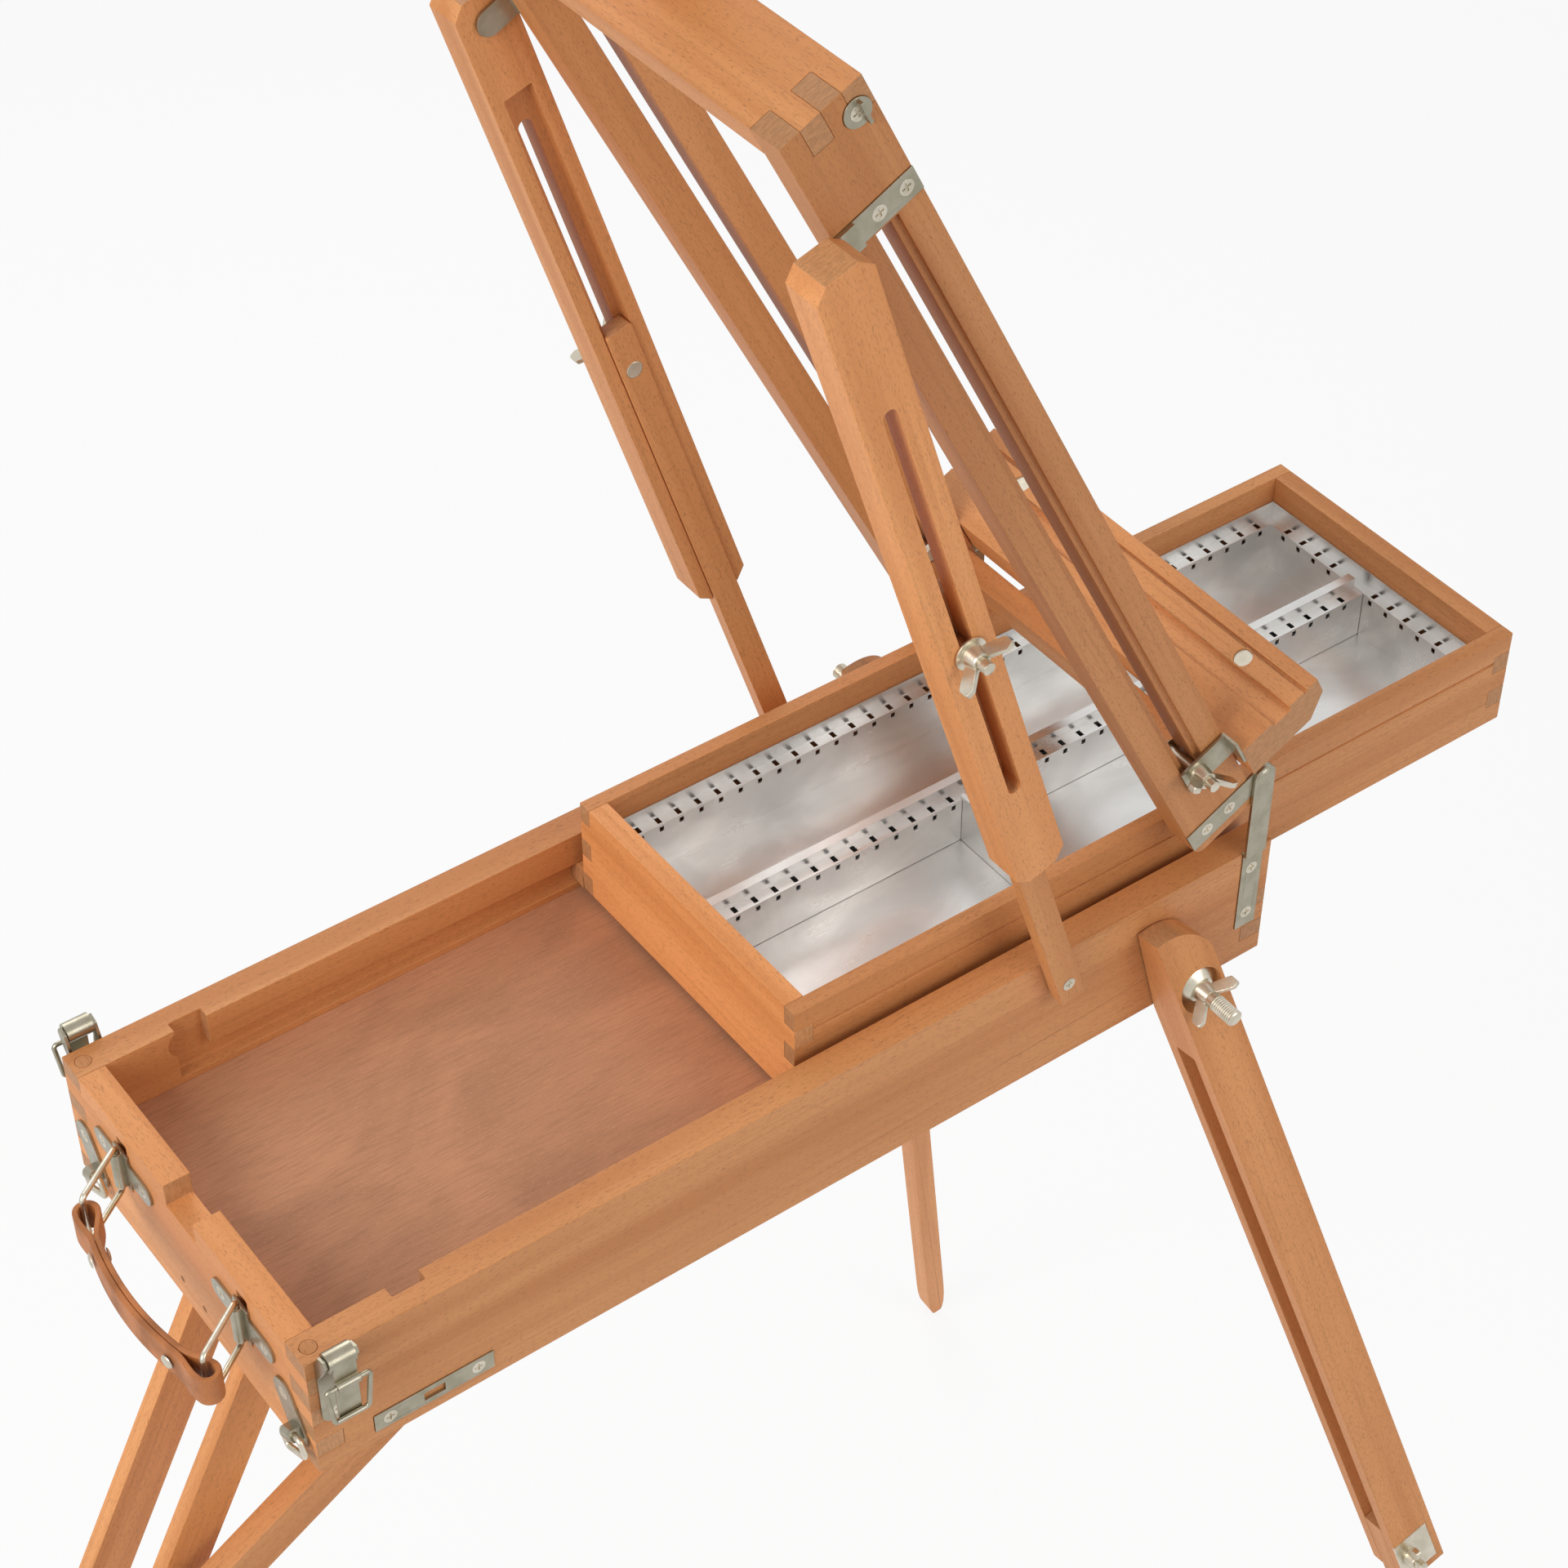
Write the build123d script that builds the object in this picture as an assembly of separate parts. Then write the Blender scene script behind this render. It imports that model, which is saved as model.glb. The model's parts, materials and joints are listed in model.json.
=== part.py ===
from build123d import *
import math
import os

# Half-box French easel on three telescopic legs, drawer pulled out and lid raised.
# It is drawn in the box's own directions: +X runs from the handle end to the hinge end,
# +Y from the near side to the far side and +Z up, with the box's underside at zero.
# The lid and what it carries are drawn closed and then turned open about their hinge.
# At the end everything is moved so that the origin is on the floor under the middle.
# All sizes are in millimetres and all angles in degrees.

# Box
box_length = 550.0
box_width = 221.0
box_height = 75.0
side_wall = 16.5
end_wall = 14.0
finger_count = 7
hinge_end_fingers = 4
floor_thickness = 4.0
floor_top = 39.0
floor_groove = 5.0
end_notch_width = 27.0
end_notch_depth = 13.0
dowel_radius = 4.0
dowel_length = 12.0

# Drawer and the grooves that its runners slide in
drawer_length = 459.0
drawer_height = 58.0
drawer_gap = 5.5
drawer_side = 8.0
drawer_end = 11.0
drawer_lift = 0.6
drawer_fingers = 5
drawer_base = 4.0
drawer_base_lift = 1.0
drawer_groove = 3.0
drawer_out = 183.0
drawer_more = 150.0
drawer_line_depth = 1.2
drawer_line_width = 1.4
drawer_line_drop = 15.0
runner_length = 15.0
runner_height = 12.0
runner_clearance = 0.4
groove_depth = 6.0
entry_start = 50.0
entry_round = 9.0

# Sheet-metal lining of the drawer
sheet = 0.8
liner_drop = 15.0
shoulder = 7.0
shoulder_drop = 9.0
slot_pitch = 12.0
slot_width = 2.6
slot_tail = 3.0
slot_bead = 1.2
divider_top = 5.0
divider_offset = 12.0
divider_drop = 3.0
cross_divider_at = 0.36
cross_divider_sheet = 1.0
cross_divider_roll = 2.2
liner_clearance = 0.25

# Lid frame
lid_open = 63.0
lid_gap = 1.0
lid_depth = 41.0
lid_rail = 18.0
lid_top_rail = 15.0
lid_fingers = 4
lid_slot_width = 7.5
lid_slot_start = 36.0
lid_slot_end = 470.0
lid_channel_width = 14.0
lid_channel_depth = 3.0
lid_heel_round = 6.0
foot_rail_width = 37.0
foot_rail_thickness = 12.0
foot_rail_set_back = 2.5
foot_rail_round = 11.0
hinge_set_back = 12.5
hinge_rise = 8.0

# Steel strip, rivets and screws
plate = 1.6
plate_proud = 0.6
strap_width = 13.0
strap_drop = 52.0
rivet_radius = 3.2
rivet_head = 5.2
rivet_cap = 1.2
running = 0.06
screw_head = 3.6
screw_shank = 1.7
screw_length = 8.0
screw_cross = 0.8
screw_inset = 8.0

# Lid stays
stay_pivot_x = 413.0
stay_pivot_z = 64.0
stay_arm_width = 14.0
stay_arm_thickness = 9.0
stay_arm_gap = 1.2
stay_arm_tail = 12.0
stay_bolt_at = 271.0
stay_arm_head = 26.0
stay_width = 28.0
stay_thickness = 20.0
stay_gap = 2.6
stay_clearance = 0.3
stay_overhang = 14.0
stay_length = 387.0
stay_slot_length = 250.0
stay_slot_from_end = 62.0
stay_slot_width = 6.8
stay_channel_stop = 40.0
stay_chamfer = 6.0
stay_pin_radius = 3.0
lid_pin_along = 478.0
lid_pin_drop = 12.0
lid_tab_lap = 10.0

# Canvas ledge
ledge_low = 23.0
ledge_thickness = 22.0
ledge_width = 50.0
ledge_overhang = 11.0
ledge_rebate_from = 20.0
ledge_rebate_width = 11.0
ledge_rebate_depth = 3.0
ledge_line_from = 41.0
ledge_line_width = 1.6
ledge_chamfer = 12.0
ledge_gap = 0.5
ledge_pin_inset = 38.0
ledge_pin_from = 36.0
ledge_pin_radius = 4.8
ledge_pin_depth = 8.0
ledge_pin_sink = 1.0
bracket_width = 16.0
bracket_gap = 0.8

# Mast and upper canvas clamp
mast_width = 26.0
mast_thickness = 12.0
mast_length = 330.0
mast_tail = 10.0
mast_drop = 3.0
mast_clearance = 0.3
mast_plate_length = 58.0
clamp_block_height = 40.0
clamp_block_reach = 42.0
clamp_block_lip = 12.0
clamp_from_top = 24.0

# Clamping hardware
bolt_radius = 3.0
bolt_head_radius = 6.0
bolt_head_height = 2.2
nut_radius = 5.5
nut_height = 7.0
wing_span = 30.0
wing_height = 13.0
wing_thickness = 3.0
washer_radius = 8.0
washer_thickness = 1.2
bolt_tip = 5.0

# Front legs
leg_bolt_x = 487.0
leg_bolt_z = 27.8
leg_bolt_radius = 4.0
leg_width = 28.5
leg_thickness = 30.0
leg_gap = 1.0
leg_splay = 13.0
leg_lean = 15.0
leg_knee = 25.0
leg_head = 36.0
leg_reach = 500.0
leg_head_curve = 26.0
leg_channel_start = 50.0
leg_seat = 20.5
foot_width = 15.5
foot_thickness = 14.0
foot_length = 489.0
foot_overlap = 46.0
foot_clearance = 0.3
foot_clamp_inset = 20.0
foot_plate_length = 30.0
foot_plate_width = 24.0
foot_tip_length = 45.0
foot_tip_width = 6.0
foot_tip_shape = [(1.0, 0.0), (0.62, 0.1), (0.3, 0.3), (0.08, 0.62), (0.0, 1.0)]
foot_wear = 1.5
cup_radius = 12.0
cup_height = 5.0
leg_bolt_tip = 50.0

# Rear leg and its brace
rear_pivot_x = 38.6
rear_pivot_z = 18.0
rear_tilt = 27.0
rear_rail_thickness = 9.4
rear_rail_depth = 24.0
rear_rail_spacing = 48.0
rear_rail_length = 490.0
rear_foot_length = 533.0
rear_foot_thickness = 14.0
rear_slot_width = 6.6
rear_slot_end = 30.0
rear_axle_radius = 3.0
rear_block_thickness = 12.0
rear_block_length = 40.0
rear_block_gap = 0.6
brace_pin_at = 183.0
brace_length = 290.0
brace_width = 23.0
brace_thickness = 13.0
brace_side_gap = 9.0
brace_rise = 31.2
brace_pin_clearance = 0.5

# Handle, its plates and the strap rings
handle_plate_spacing = 110.0
handle_plate_length = 54.0
handle_plate_height = 12.0
handle_plate_z = 51.0
wire_radius = 1.5
sleeve_height = 22.0
sleeve_width = 13.0
bail_height = 28.5
bail_reach = 32.2
bail_swing = 35.0
bail_recess_radius = 4.5
handle_width = 17.0
handle_thickness = 3.0
handle_sag = 9.0
handle_loop_outer = 6.5
handle_loop_inner = 4.2
ring_plate_tilt = 28.0
ring_plate_length = 36.0
ring_plate_width = 16.0
ring_inset = 18.5
ring_plate_z = 25.0
ring_radius = 9.5

# Toggle latches and the slotted plates on the box's sides
latch_x = 13.0
latch_width = 17.0
latch_base_low = 32.5
latch_base_round = 6.0
latch_base_high = 71.0
latch_pivot_z = 80.0
latch_pivot_out = 7.5
latch_pin_radius = 2.0
latch_drum = 5.0
latch_lever_length = 34.0
latch_lever_plate = 1.2
latch_wire_drop = 11.0
latch_wire_length = 22.0
latch_wire_top = 22.0
latch_wire_radius = 1.2
side_plate_start = 29.0
side_plate_length = 62.0
side_plate_width = 11.0
side_plate_z = 12.3
side_slot_length = 11.0
side_slot_width = 5.0
catch_inset = 2.0

# Worked out from the sizes above
far_inner = box_width - side_wall
middle_y = box_width / 2
finger = box_height / finger_count
hinge_end_top = hinge_end_fingers * finger
floor_bottom = floor_top - floor_thickness
drawer_z = hinge_end_top + drawer_lift
drawer_top = drawer_z + drawer_height
drawer_near = side_wall + drawer_gap
drawer_far = box_width - drawer_near
drawer_x1 = box_length + drawer_out
drawer_x0 = drawer_x1 - drawer_length
groove_z0 = drawer_z - runner_clearance
groove_z1 = drawer_z + runner_height + runner_clearance
groove_end = drawer_x0 + runner_length + drawer_more + runner_clearance
lid_low = box_height + lid_gap
lid_high = lid_low + lid_depth
lid_middle = (lid_low + lid_high) / 2
pivot = Vector(box_length - hinge_set_back, 0, lid_high + hinge_rise)
lid_pin = Vector(pivot.X - lid_pin_along, 0, lid_low - lid_pin_drop)
catch_z = lid_high - strap_width / 2 - catch_inset
ledge_bolt_x = pivot.X - ledge_low - ledge_thickness
stay_pivot = Vector(stay_pivot_x, 0, stay_pivot_z)
middle_plane = Plane(origin=(0, middle_y, 0), z_dir=(0, 1, 0))
flush = plate - plate_proud
sleeve_outer = wire_radius + running + plate
in_y = (0, 1, 0)
LOW = (Align.CENTER, Align.CENTER, Align.MIN)
HIGH = (Align.CENTER, Align.CENTER, Align.MAX)


def block(x0, x1, y0, y1, z0, z1):
    """A box given by its lowest and highest corners."""
    centre = Pos((x0 + x1) / 2, (y0 + y1) / 2, (z0 + z1) / 2)
    return centre * Box(x1 - x0, y1 - y0, z1 - z0)


def rod(start, end, radius):
    """A round bar from one point to another."""
    start = Vector(*start)
    run = Vector(*end) - start
    return Plane(origin=start, z_dir=run) * Cylinder(radius, run.length, align=LOW)


def tube(start, end, outer, inner):
    """A round bar with a bore along it."""
    return rod(start, end, outer) - rod(start, end, inner)


def turned(shape, centre, axis, angle):
    """The shape turned about an axis through a point, by the right-hand rule."""
    return shape.rotate(Axis(tuple(centre), tuple(axis)), angle)


def opened(shape):
    """A lid piece that was drawn closed, turned to the raised position."""
    return turned(shape, pivot, in_y, lid_open)


def mirrored(shape):
    """The far-side twin of a near-side piece."""
    return mirror(shape, about=middle_plane)


def both_sides(shape):
    """A near-side piece and its far-side twin."""
    return [shape, mirrored(shape)]


def group(shapes):
    """Separate solids kept together under one name."""
    solids = []
    for shape in shapes:
        solids += shape.solids()
    return Compound(children=solids)


def prism(points, low, high, drawn_in="XZ"):
    """A polygon drawn in two axes, extruded along the third from low to high."""
    face = make_face(Polyline(*points, close=True))
    if drawn_in == "XZ":
        base = Plane(origin=(0, low, 0), x_dir=(1, 0, 0), z_dir=(0, -1, 0))
        return extrude(base * face, amount=low - high)
    if drawn_in == "YZ":
        base = Plane(origin=(low, 0, 0), x_dir=(0, 1, 0), z_dir=(1, 0, 0))
        return extrude(base * face, amount=high - low)
    return extrude(Pos(0, 0, low) * face, amount=high - low)


def slot_bar(x0, x1, width, y0, y1, z):
    """A round-ended bar along X, between two Y values, centred on a height."""
    half = width / 2
    body = block(x0 + half, x1 - half, y0, y1, z - half, z + half)
    for x in (x0 + half, x1 - half):
        body += rod((x, y0, z), (x, y1, z), half)
    return body


def pill(length, width, thickness):
    """A flat plate with round ends, lying in XY with its back face at zero."""
    body = Pos(0, 0, thickness / 2) * Box(length - width, width, thickness)
    for x in (-1, 1):
        body += Pos(x * (length - width) / 2, 0, 0) * Cylinder(width / 2, thickness, align=LOW)
    return body


def screw(point, outward):
    """A countersunk screw with a cross recess, its head level with the point."""
    frame = Plane(origin=Vector(*point) - Vector(*outward) * plate, z_dir=outward)
    head = Cone(screw_shank, screw_head, plate, align=LOW)
    shank = Cylinder(screw_shank, screw_length, align=HIGH)
    arm = Box(screw_head * 1.2, screw_cross, screw_cross, align=HIGH)
    cross = Pos(0, 0, plate) * (arm + Rot(0, 0, 90) * arm)
    return frame * (head + shank - cross)


def screw_hole(point, outward):
    """The space that the screw fills in its plate and in the wood."""
    frame = Plane(origin=Vector(*point) - Vector(*outward) * plate, z_dir=outward)
    head = Cone(screw_shank, screw_head, plate, align=LOW)
    return frame * (head + Cylinder(screw_shank, screw_length, align=HIGH))


def wing_nut(point, outward, across):
    """A wing nut seated at the point, with its wings spread along the across direction."""
    hub = Cone(nut_radius, nut_radius * 0.8, nut_height, align=LOW)
    half = wing_span / 2
    outline = [
        (nut_radius * 0.55, 0.6),
        (half * 0.72, wing_height * 0.4),
        (half, wing_height * 0.62),
        (half, wing_height),
        (half * 0.74, wing_height),
        (nut_radius * 0.5, nut_height),
    ]
    wing = prism(outline, -wing_thickness / 2, wing_thickness / 2)
    wing = fillet(wing.edges().filter_by(Axis.Y).sort_by(Axis.X)[-2:], wing_thickness / 2)
    shape = hub + wing + mirror(wing, about=Plane.YZ) - Cylinder(bolt_radius, nut_height * 3)
    return Plane(origin=point, x_dir=across, z_dir=outward) * shape


def carriage_bolt(head_seat, tip, radius=bolt_radius):
    """A bolt with a low domed head whose underside is at the seat."""
    seat = Vector(*head_seat)
    back = (seat - Vector(*tip)).normalized()
    dome = Cone(bolt_head_radius, bolt_head_radius * 0.7, bolt_head_height, align=LOW)
    return rod(seat, tip, radius) + Plane(origin=seat, z_dir=back) * dome


def wire_ring(points, radius):
    """A closed ring of round wire with bent corners."""
    path = FilletPolyline(*points, radius=radius * 1.6, close=True)
    section = Plane(origin=path @ 0, z_dir=path % 0) * Circle(radius)
    return sweep(section, path=path)


def finger_cuts(x0, x1, y0, y1, z0, height, count, first):
    """Every second finger of a comb joint, as cutters stacked in Z."""
    cuts = []
    for index in range(first, count, 2):
        cuts.append(block(x0, x1, y0, y1, z0 + index * height, z0 + (index + 1) * height))
    return cuts


def side_hardware_holes():
    """Bolt and screw holes of the near side board."""
    holes = [
        rod((leg_bolt_x, 0, leg_bolt_z), (leg_bolt_x, side_wall, leg_bolt_z), leg_bolt_radius),
        screw_hole((stay_pivot_x, -stay_arm_gap - stay_arm_thickness, stay_pivot_z), (0, -1, 0)),
        rod((stay_pivot_x, 0, stay_pivot_z), (stay_pivot_x, groove_depth, stay_pivot_z), screw_shank),
    ]
    return holes + [screw_hole(point, (0, -1, 0)) for point in near_box_screw_points()]


def near_box_screw_points():
    """Screws through the hinge strap, the slotted plate and the latch on the near side."""
    strap_screws = [(pivot.X, -plate_proud, box_height - along) for along in (12.0, 43.0)]
    plate_ends = (side_plate_start + screw_inset, side_plate_start + side_plate_length - screw_inset)
    plate_screws = [(x, -plate_proud, side_plate_z) for x in plate_ends]
    latch_screws = [(latch_x, -plate, latch_base_low + 6.0)]
    return strap_screws + plate_screws + latch_screws


def near_side_board():
    """Side board with comb ends, floor groove, runner groove and runner entry."""
    board = block(0, box_length, 0, side_wall, 0, box_height)
    cuts = finger_cuts(0, end_wall, 0, side_wall, 0, finger, finger_count, 1)
    cuts += finger_cuts(box_length - end_wall, box_length, 0, side_wall, 0, finger, hinge_end_fingers, 1)
    cuts.append(floor_panel())
    inner = side_wall - groove_depth
    cuts.append(block(entry_start, groove_end, inner, side_wall, groove_z0, groove_z1))
    entry_end = entry_start + runner_length + 2.0
    cuts.append(block(entry_start, entry_end, inner, side_wall, groove_z0, box_height))
    round_z = groove_z1 + entry_round
    cuts.append(rod((entry_start + 5.0, inner, round_z), (entry_start + 5.0, side_wall, round_z), entry_round))
    strap_x0 = pivot.X - strap_width / 2
    cuts.append(block(strap_x0, strap_x0 + strap_width, 0, flush, box_height - strap_drop, box_height))
    plate_z0 = side_plate_z - side_plate_width / 2
    plate_x1 = side_plate_start + side_plate_length
    cuts.append(block(side_plate_start, plate_x1, 0, flush, plate_z0, plate_z0 + side_plate_width))
    dowel_y = side_wall / 2
    cuts.append(rod((end_wall / 2, dowel_y, box_height - dowel_length), (end_wall / 2, dowel_y, box_height), dowel_radius))
    return board - (cuts + side_hardware_holes())


def handle_end_board():
    """End board with comb ends and the notch in its top edge."""
    board = block(0, end_wall, 0, box_width, 0, box_height)
    cuts = []
    for y0 in (0, far_inner):
        cuts += finger_cuts(0, end_wall, y0, y0 + side_wall, 0, finger, finger_count, 0)
    half = end_notch_width / 2
    cuts.append(block(0, end_wall, middle_y - half, middle_y + half, box_height - end_notch_depth, box_height))
    cuts.append(floor_panel())
    cuts += [bail_recess(y) for y in handle_plate_centres()]
    cuts += [screw_hole(point, (-1, 0, 0)) for point in end_screw_points()]
    for point in near_box_screw_points()[4:]:
        cuts += both_sides(screw_hole(point, (0, -1, 0)))
    return board - cuts


def hinge_end_board():
    """Low end board that the drawer passes over."""
    x0 = box_length - end_wall
    board = block(x0, box_length, 0, box_width, 0, hinge_end_top)
    cuts = []
    for y0 in (0, far_inner):
        cuts += finger_cuts(x0, box_length, y0, y0 + side_wall, 0, finger, hinge_end_fingers, 0)
    cuts.append(floor_panel())
    strap_x0 = pivot.X - strap_width / 2
    strap_space = block(strap_x0, strap_x0 + strap_width, 0, flush, box_height - strap_drop, box_height)
    for cut in [strap_space] + [screw_hole(point, (0, -1, 0)) for point in near_box_screw_points()[:2]]:
        cuts += both_sides(cut)
    return board - cuts


def floor_panel():
    """Thin floor let into grooves in all four boards."""
    x0 = end_wall - floor_groove
    x1 = box_length - end_wall + floor_groove
    y0 = side_wall - floor_groove
    return block(x0, x1, y0, box_width - y0, floor_bottom, floor_top)


def box_parts():
    """The open box: four comb-jointed boards, floor and locking dowels."""
    near = near_side_board()
    dowel_y = side_wall / 2
    dowel = rod((end_wall / 2, dowel_y, box_height - dowel_length), (end_wall / 2, dowel_y, box_height), dowel_radius)
    end = handle_end_board() - [dowel, mirrored(dowel)]
    return {
        "box_near_side": near,
        "box_far_side": mirrored(near),
        "box_handle_end": end,
        "box_hinge_end": hinge_end_board() - both_sides(near),
        "box_floor": floor_panel(),
        "box_dowels": group(both_sides(dowel)),
    }


def box_hinge_strap():
    """Steel strap let into the box's side, cranked out and round at the pivot."""
    half = strap_width / 2
    outer = -plate_proud - running
    lower = block(pivot.X - half, pivot.X + half, -plate_proud, flush, box_height - strap_drop, box_height)
    upper = block(pivot.X - half, pivot.X + half, outer - plate, outer, box_height - plate, pivot.Z)
    step = block(pivot.X - half, pivot.X + half, outer - plate, flush, box_height - plate, box_height)
    eye = rod((pivot.X, outer - plate, pivot.Z), (pivot.X, outer, pivot.Z), half)
    hole = rod((pivot.X, outer - plate, pivot.Z), (pivot.X, outer, pivot.Z), rivet_radius)
    screws = [screw_hole(point, (0, -1, 0)) for point in near_box_screw_points()[:2]]
    return lower + step + upper + eye - ([hole] + screws)


def hinge_rivet():
    """Rivet through both straps, headed on each side."""
    outer = -plate_proud - running - plate
    inner = flush + running
    pin = rod((pivot.X, outer, pivot.Z), (pivot.X, inner, pivot.Z), rivet_radius)
    caps = Plane(origin=(pivot.X, outer, pivot.Z), z_dir=(0, -1, 0)) * Cone(rivet_head, rivet_radius, rivet_cap, align=LOW)
    caps += Plane(origin=(pivot.X, inner, pivot.Z), z_dir=in_y) * Cone(rivet_head, rivet_radius, rivet_cap, align=LOW)
    return pin + caps


def side_plate():
    """Bare steel plate near the handle end, with a slot for the carrying strap's hook."""
    z0 = side_plate_z - side_plate_width / 2
    x1 = side_plate_start + side_plate_length
    body = block(side_plate_start, x1, -plate_proud, flush, z0, z0 + side_plate_width)
    middle = (side_plate_start + x1) / 2
    half = side_slot_length / 2
    slot = block(middle - half, middle + half, -plate, plate, side_plate_z - side_slot_width / 2, side_plate_z + side_slot_width / 2)
    screws = [screw_hole(point, (0, -1, 0)) for point in near_box_screw_points()[2:4]]
    return body - ([slot] + screws)


def leg_clamp():
    """Front leg bolt with its cupped washer and wing nut."""
    bolt = carriage_bolt((leg_bolt_x, side_wall, leg_bolt_z), (leg_bolt_x, -leg_bolt_tip, leg_bolt_z), leg_bolt_radius)
    seat = Plane(origin=(leg_bolt_x, -leg_seat, leg_bolt_z), z_dir=(0, -1, 0))
    cup = seat * Cone(cup_radius, nut_radius + 1.5, cup_height, align=LOW)
    cup -= rod((leg_bolt_x, 0, leg_bolt_z), (leg_bolt_x, -leg_bolt_tip, leg_bolt_z), leg_bolt_radius)
    nut = wing_nut((leg_bolt_x, -leg_seat - cup_height, leg_bolt_z), (0, -1, 0), (0.8, 0, 0.6))
    nut -= rod((leg_bolt_x, 0, leg_bolt_z), (leg_bolt_x, -leg_bolt_tip, leg_bolt_z), leg_bolt_radius)
    return [bolt, cup, nut]


def box_hardware():
    """Steel parts fixed to the box's sides."""
    screws = []
    for point in near_box_screw_points():
        screws += both_sides(screw(point, (0, -1, 0)))
    screws += [screw(point, (-1, 0, 0)) for point in end_screw_points()]
    stay_screw_y = -stay_arm_gap - stay_arm_thickness
    stay_screw = screw((stay_pivot_x, stay_screw_y, stay_pivot_z), (0, -1, 0))
    shank_start = (stay_pivot_x, stay_screw_y + plate, stay_pivot_z)
    stay_screw += rod(shank_start, (stay_pivot_x, groove_depth, stay_pivot_z), screw_shank)
    screws += both_sides(stay_screw)
    straps = both_sides(box_hinge_strap()) + both_sides(hinge_rivet())
    clamps = []
    for shape in leg_clamp():
        clamps += both_sides(shape)
    return {
        "box_hinge_straps": group(straps),
        "box_screws": group(screws),
        "leg_bolts": group(clamps),
    }


def drawer_base_panel():
    """Thin base let into grooves round the drawer, a little above its lower edge."""
    g = drawer_groove
    x0 = drawer_x0 + drawer_end - g
    x1 = drawer_x1 - drawer_end + g
    y0 = drawer_near + drawer_side - g
    z0 = drawer_z + drawer_base_lift
    return block(x0, x1, y0, box_width - y0, z0, z0 + drawer_base)


def drawer_finger_height():
    """Height of one finger of the drawer's comb joints."""
    return drawer_height / drawer_fingers


def drawer_side_board():
    """Near side of the drawer with comb ends, line, runner and base groove."""
    y1 = drawer_near + drawer_side
    board = block(drawer_x0, drawer_x1, drawer_near, y1, drawer_z, drawer_top)
    height = drawer_finger_height()
    cuts = finger_cuts(drawer_x0, drawer_x0 + drawer_end, drawer_near, y1, drawer_z, height, drawer_fingers, 1)
    cuts += finger_cuts(drawer_x1 - drawer_end, drawer_x1, drawer_near, y1, drawer_z, height, drawer_fingers, 1)
    line_z = drawer_top - drawer_line_drop
    line_y = drawer_near + drawer_line_depth
    cuts.append(block(drawer_x0, drawer_x1, drawer_near, line_y, line_z - drawer_line_width, line_z))
    cuts.append(drawer_base_panel())
    runner_y = side_wall - groove_depth + runner_clearance
    runner = block(drawer_x0, drawer_x0 + runner_length, runner_y, drawer_near, drawer_z, drawer_z + runner_height)
    return group([board - cuts, runner])


def drawer_end_board(x0):
    """One end board of the drawer."""
    board = block(x0, x0 + drawer_end, drawer_near, drawer_far, drawer_z, drawer_top)
    height = drawer_finger_height()
    cuts = []
    for y0 in (drawer_near, drawer_far - drawer_side):
        cuts += finger_cuts(x0, x0 + drawer_end, y0, y0 + drawer_side, drawer_z, height, drawer_fingers, 0)
    return board - cuts - drawer_base_panel()


def lining_space():
    """Inside of the drawer that the lining fills, as low and high corners."""
    c = liner_clearance
    x0 = drawer_x0 + drawer_end + c
    x1 = drawer_x1 - drawer_end - c
    y0 = drawer_near + drawer_side + c
    y1 = drawer_far - drawer_side - c
    return x0, x1, y0, y1, drawer_z + drawer_base_lift + drawer_base + c, drawer_top - liner_drop


def slot_positions(low, high):
    """Centres of the divider slots along a wall, evenly spaced about its middle."""
    span = high - low - 2 * shoulder - slot_pitch
    count = int(span // slot_pitch) + 1
    start = (low + high) / 2 - (count - 1) * slot_pitch / 2
    return [start + index * slot_pitch for index in range(count)]


def wall_slots(low, high, wall, inward, top, along_x):
    """Slots in a shoulder and the small holes below it, along one wall."""
    cuts = []
    edge = wall + inward * (shoulder - slot_bead)
    hole = wall + inward * shoulder
    for centre in slot_positions(low, high):
        a0 = centre - slot_width / 2
        a1 = centre + slot_width / 2
        s0, s1 = sorted((wall + inward * sheet * 2, edge))
        h0, h1 = sorted((hole - sheet * 2, hole + sheet * 2))
        for b0, b1, z0, z1 in ((s0, s1, top - sheet * 2, top + sheet * 2), (h0, h1, top - sheet * 2 - slot_tail, top - sheet * 2)):
            corners = (a0, a1, b0, b1) if along_x else (b0, b1, a0, a1)
            cuts.append(block(*corners, z0, z1))
    return cuts


def drawer_lining():
    """Folded sheet tray with a slotted shoulder all round."""
    x0, x1, y0, y1, z0, z1 = lining_space()
    top = z1 - shoulder_drop
    upper = block(x0, x1, y0, y1, top - sheet, z1) - block(x0 + sheet, x1 - sheet, y0 + sheet, y1 - sheet, top, z1)
    s = shoulder
    lower = block(x0 + s - sheet, x1 - s + sheet, y0 + s - sheet, y1 - s + sheet, z0, top)
    tray = upper + lower - block(x0 + s, x1 - s, y0 + s, y1 - s, z0 + sheet, top)
    cuts = wall_slots(x0, x1, y0, 1, top, True) + wall_slots(x0, x1, y1, -1, top, True)
    cuts += wall_slots(y0, divider_centre(), x1, -1, top, False)
    cuts += wall_slots(divider_centre(), y1, x1, -1, top, False)
    cuts += wall_slots(y0, divider_centre(), x0, 1, top, False)
    cuts += wall_slots(divider_centre(), y1, x0, 1, top, False)
    return tray - cuts


def divider_centre():
    """Where the long divider stands across the drawer."""
    return middle_y + divider_offset - divider_top / 2


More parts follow.
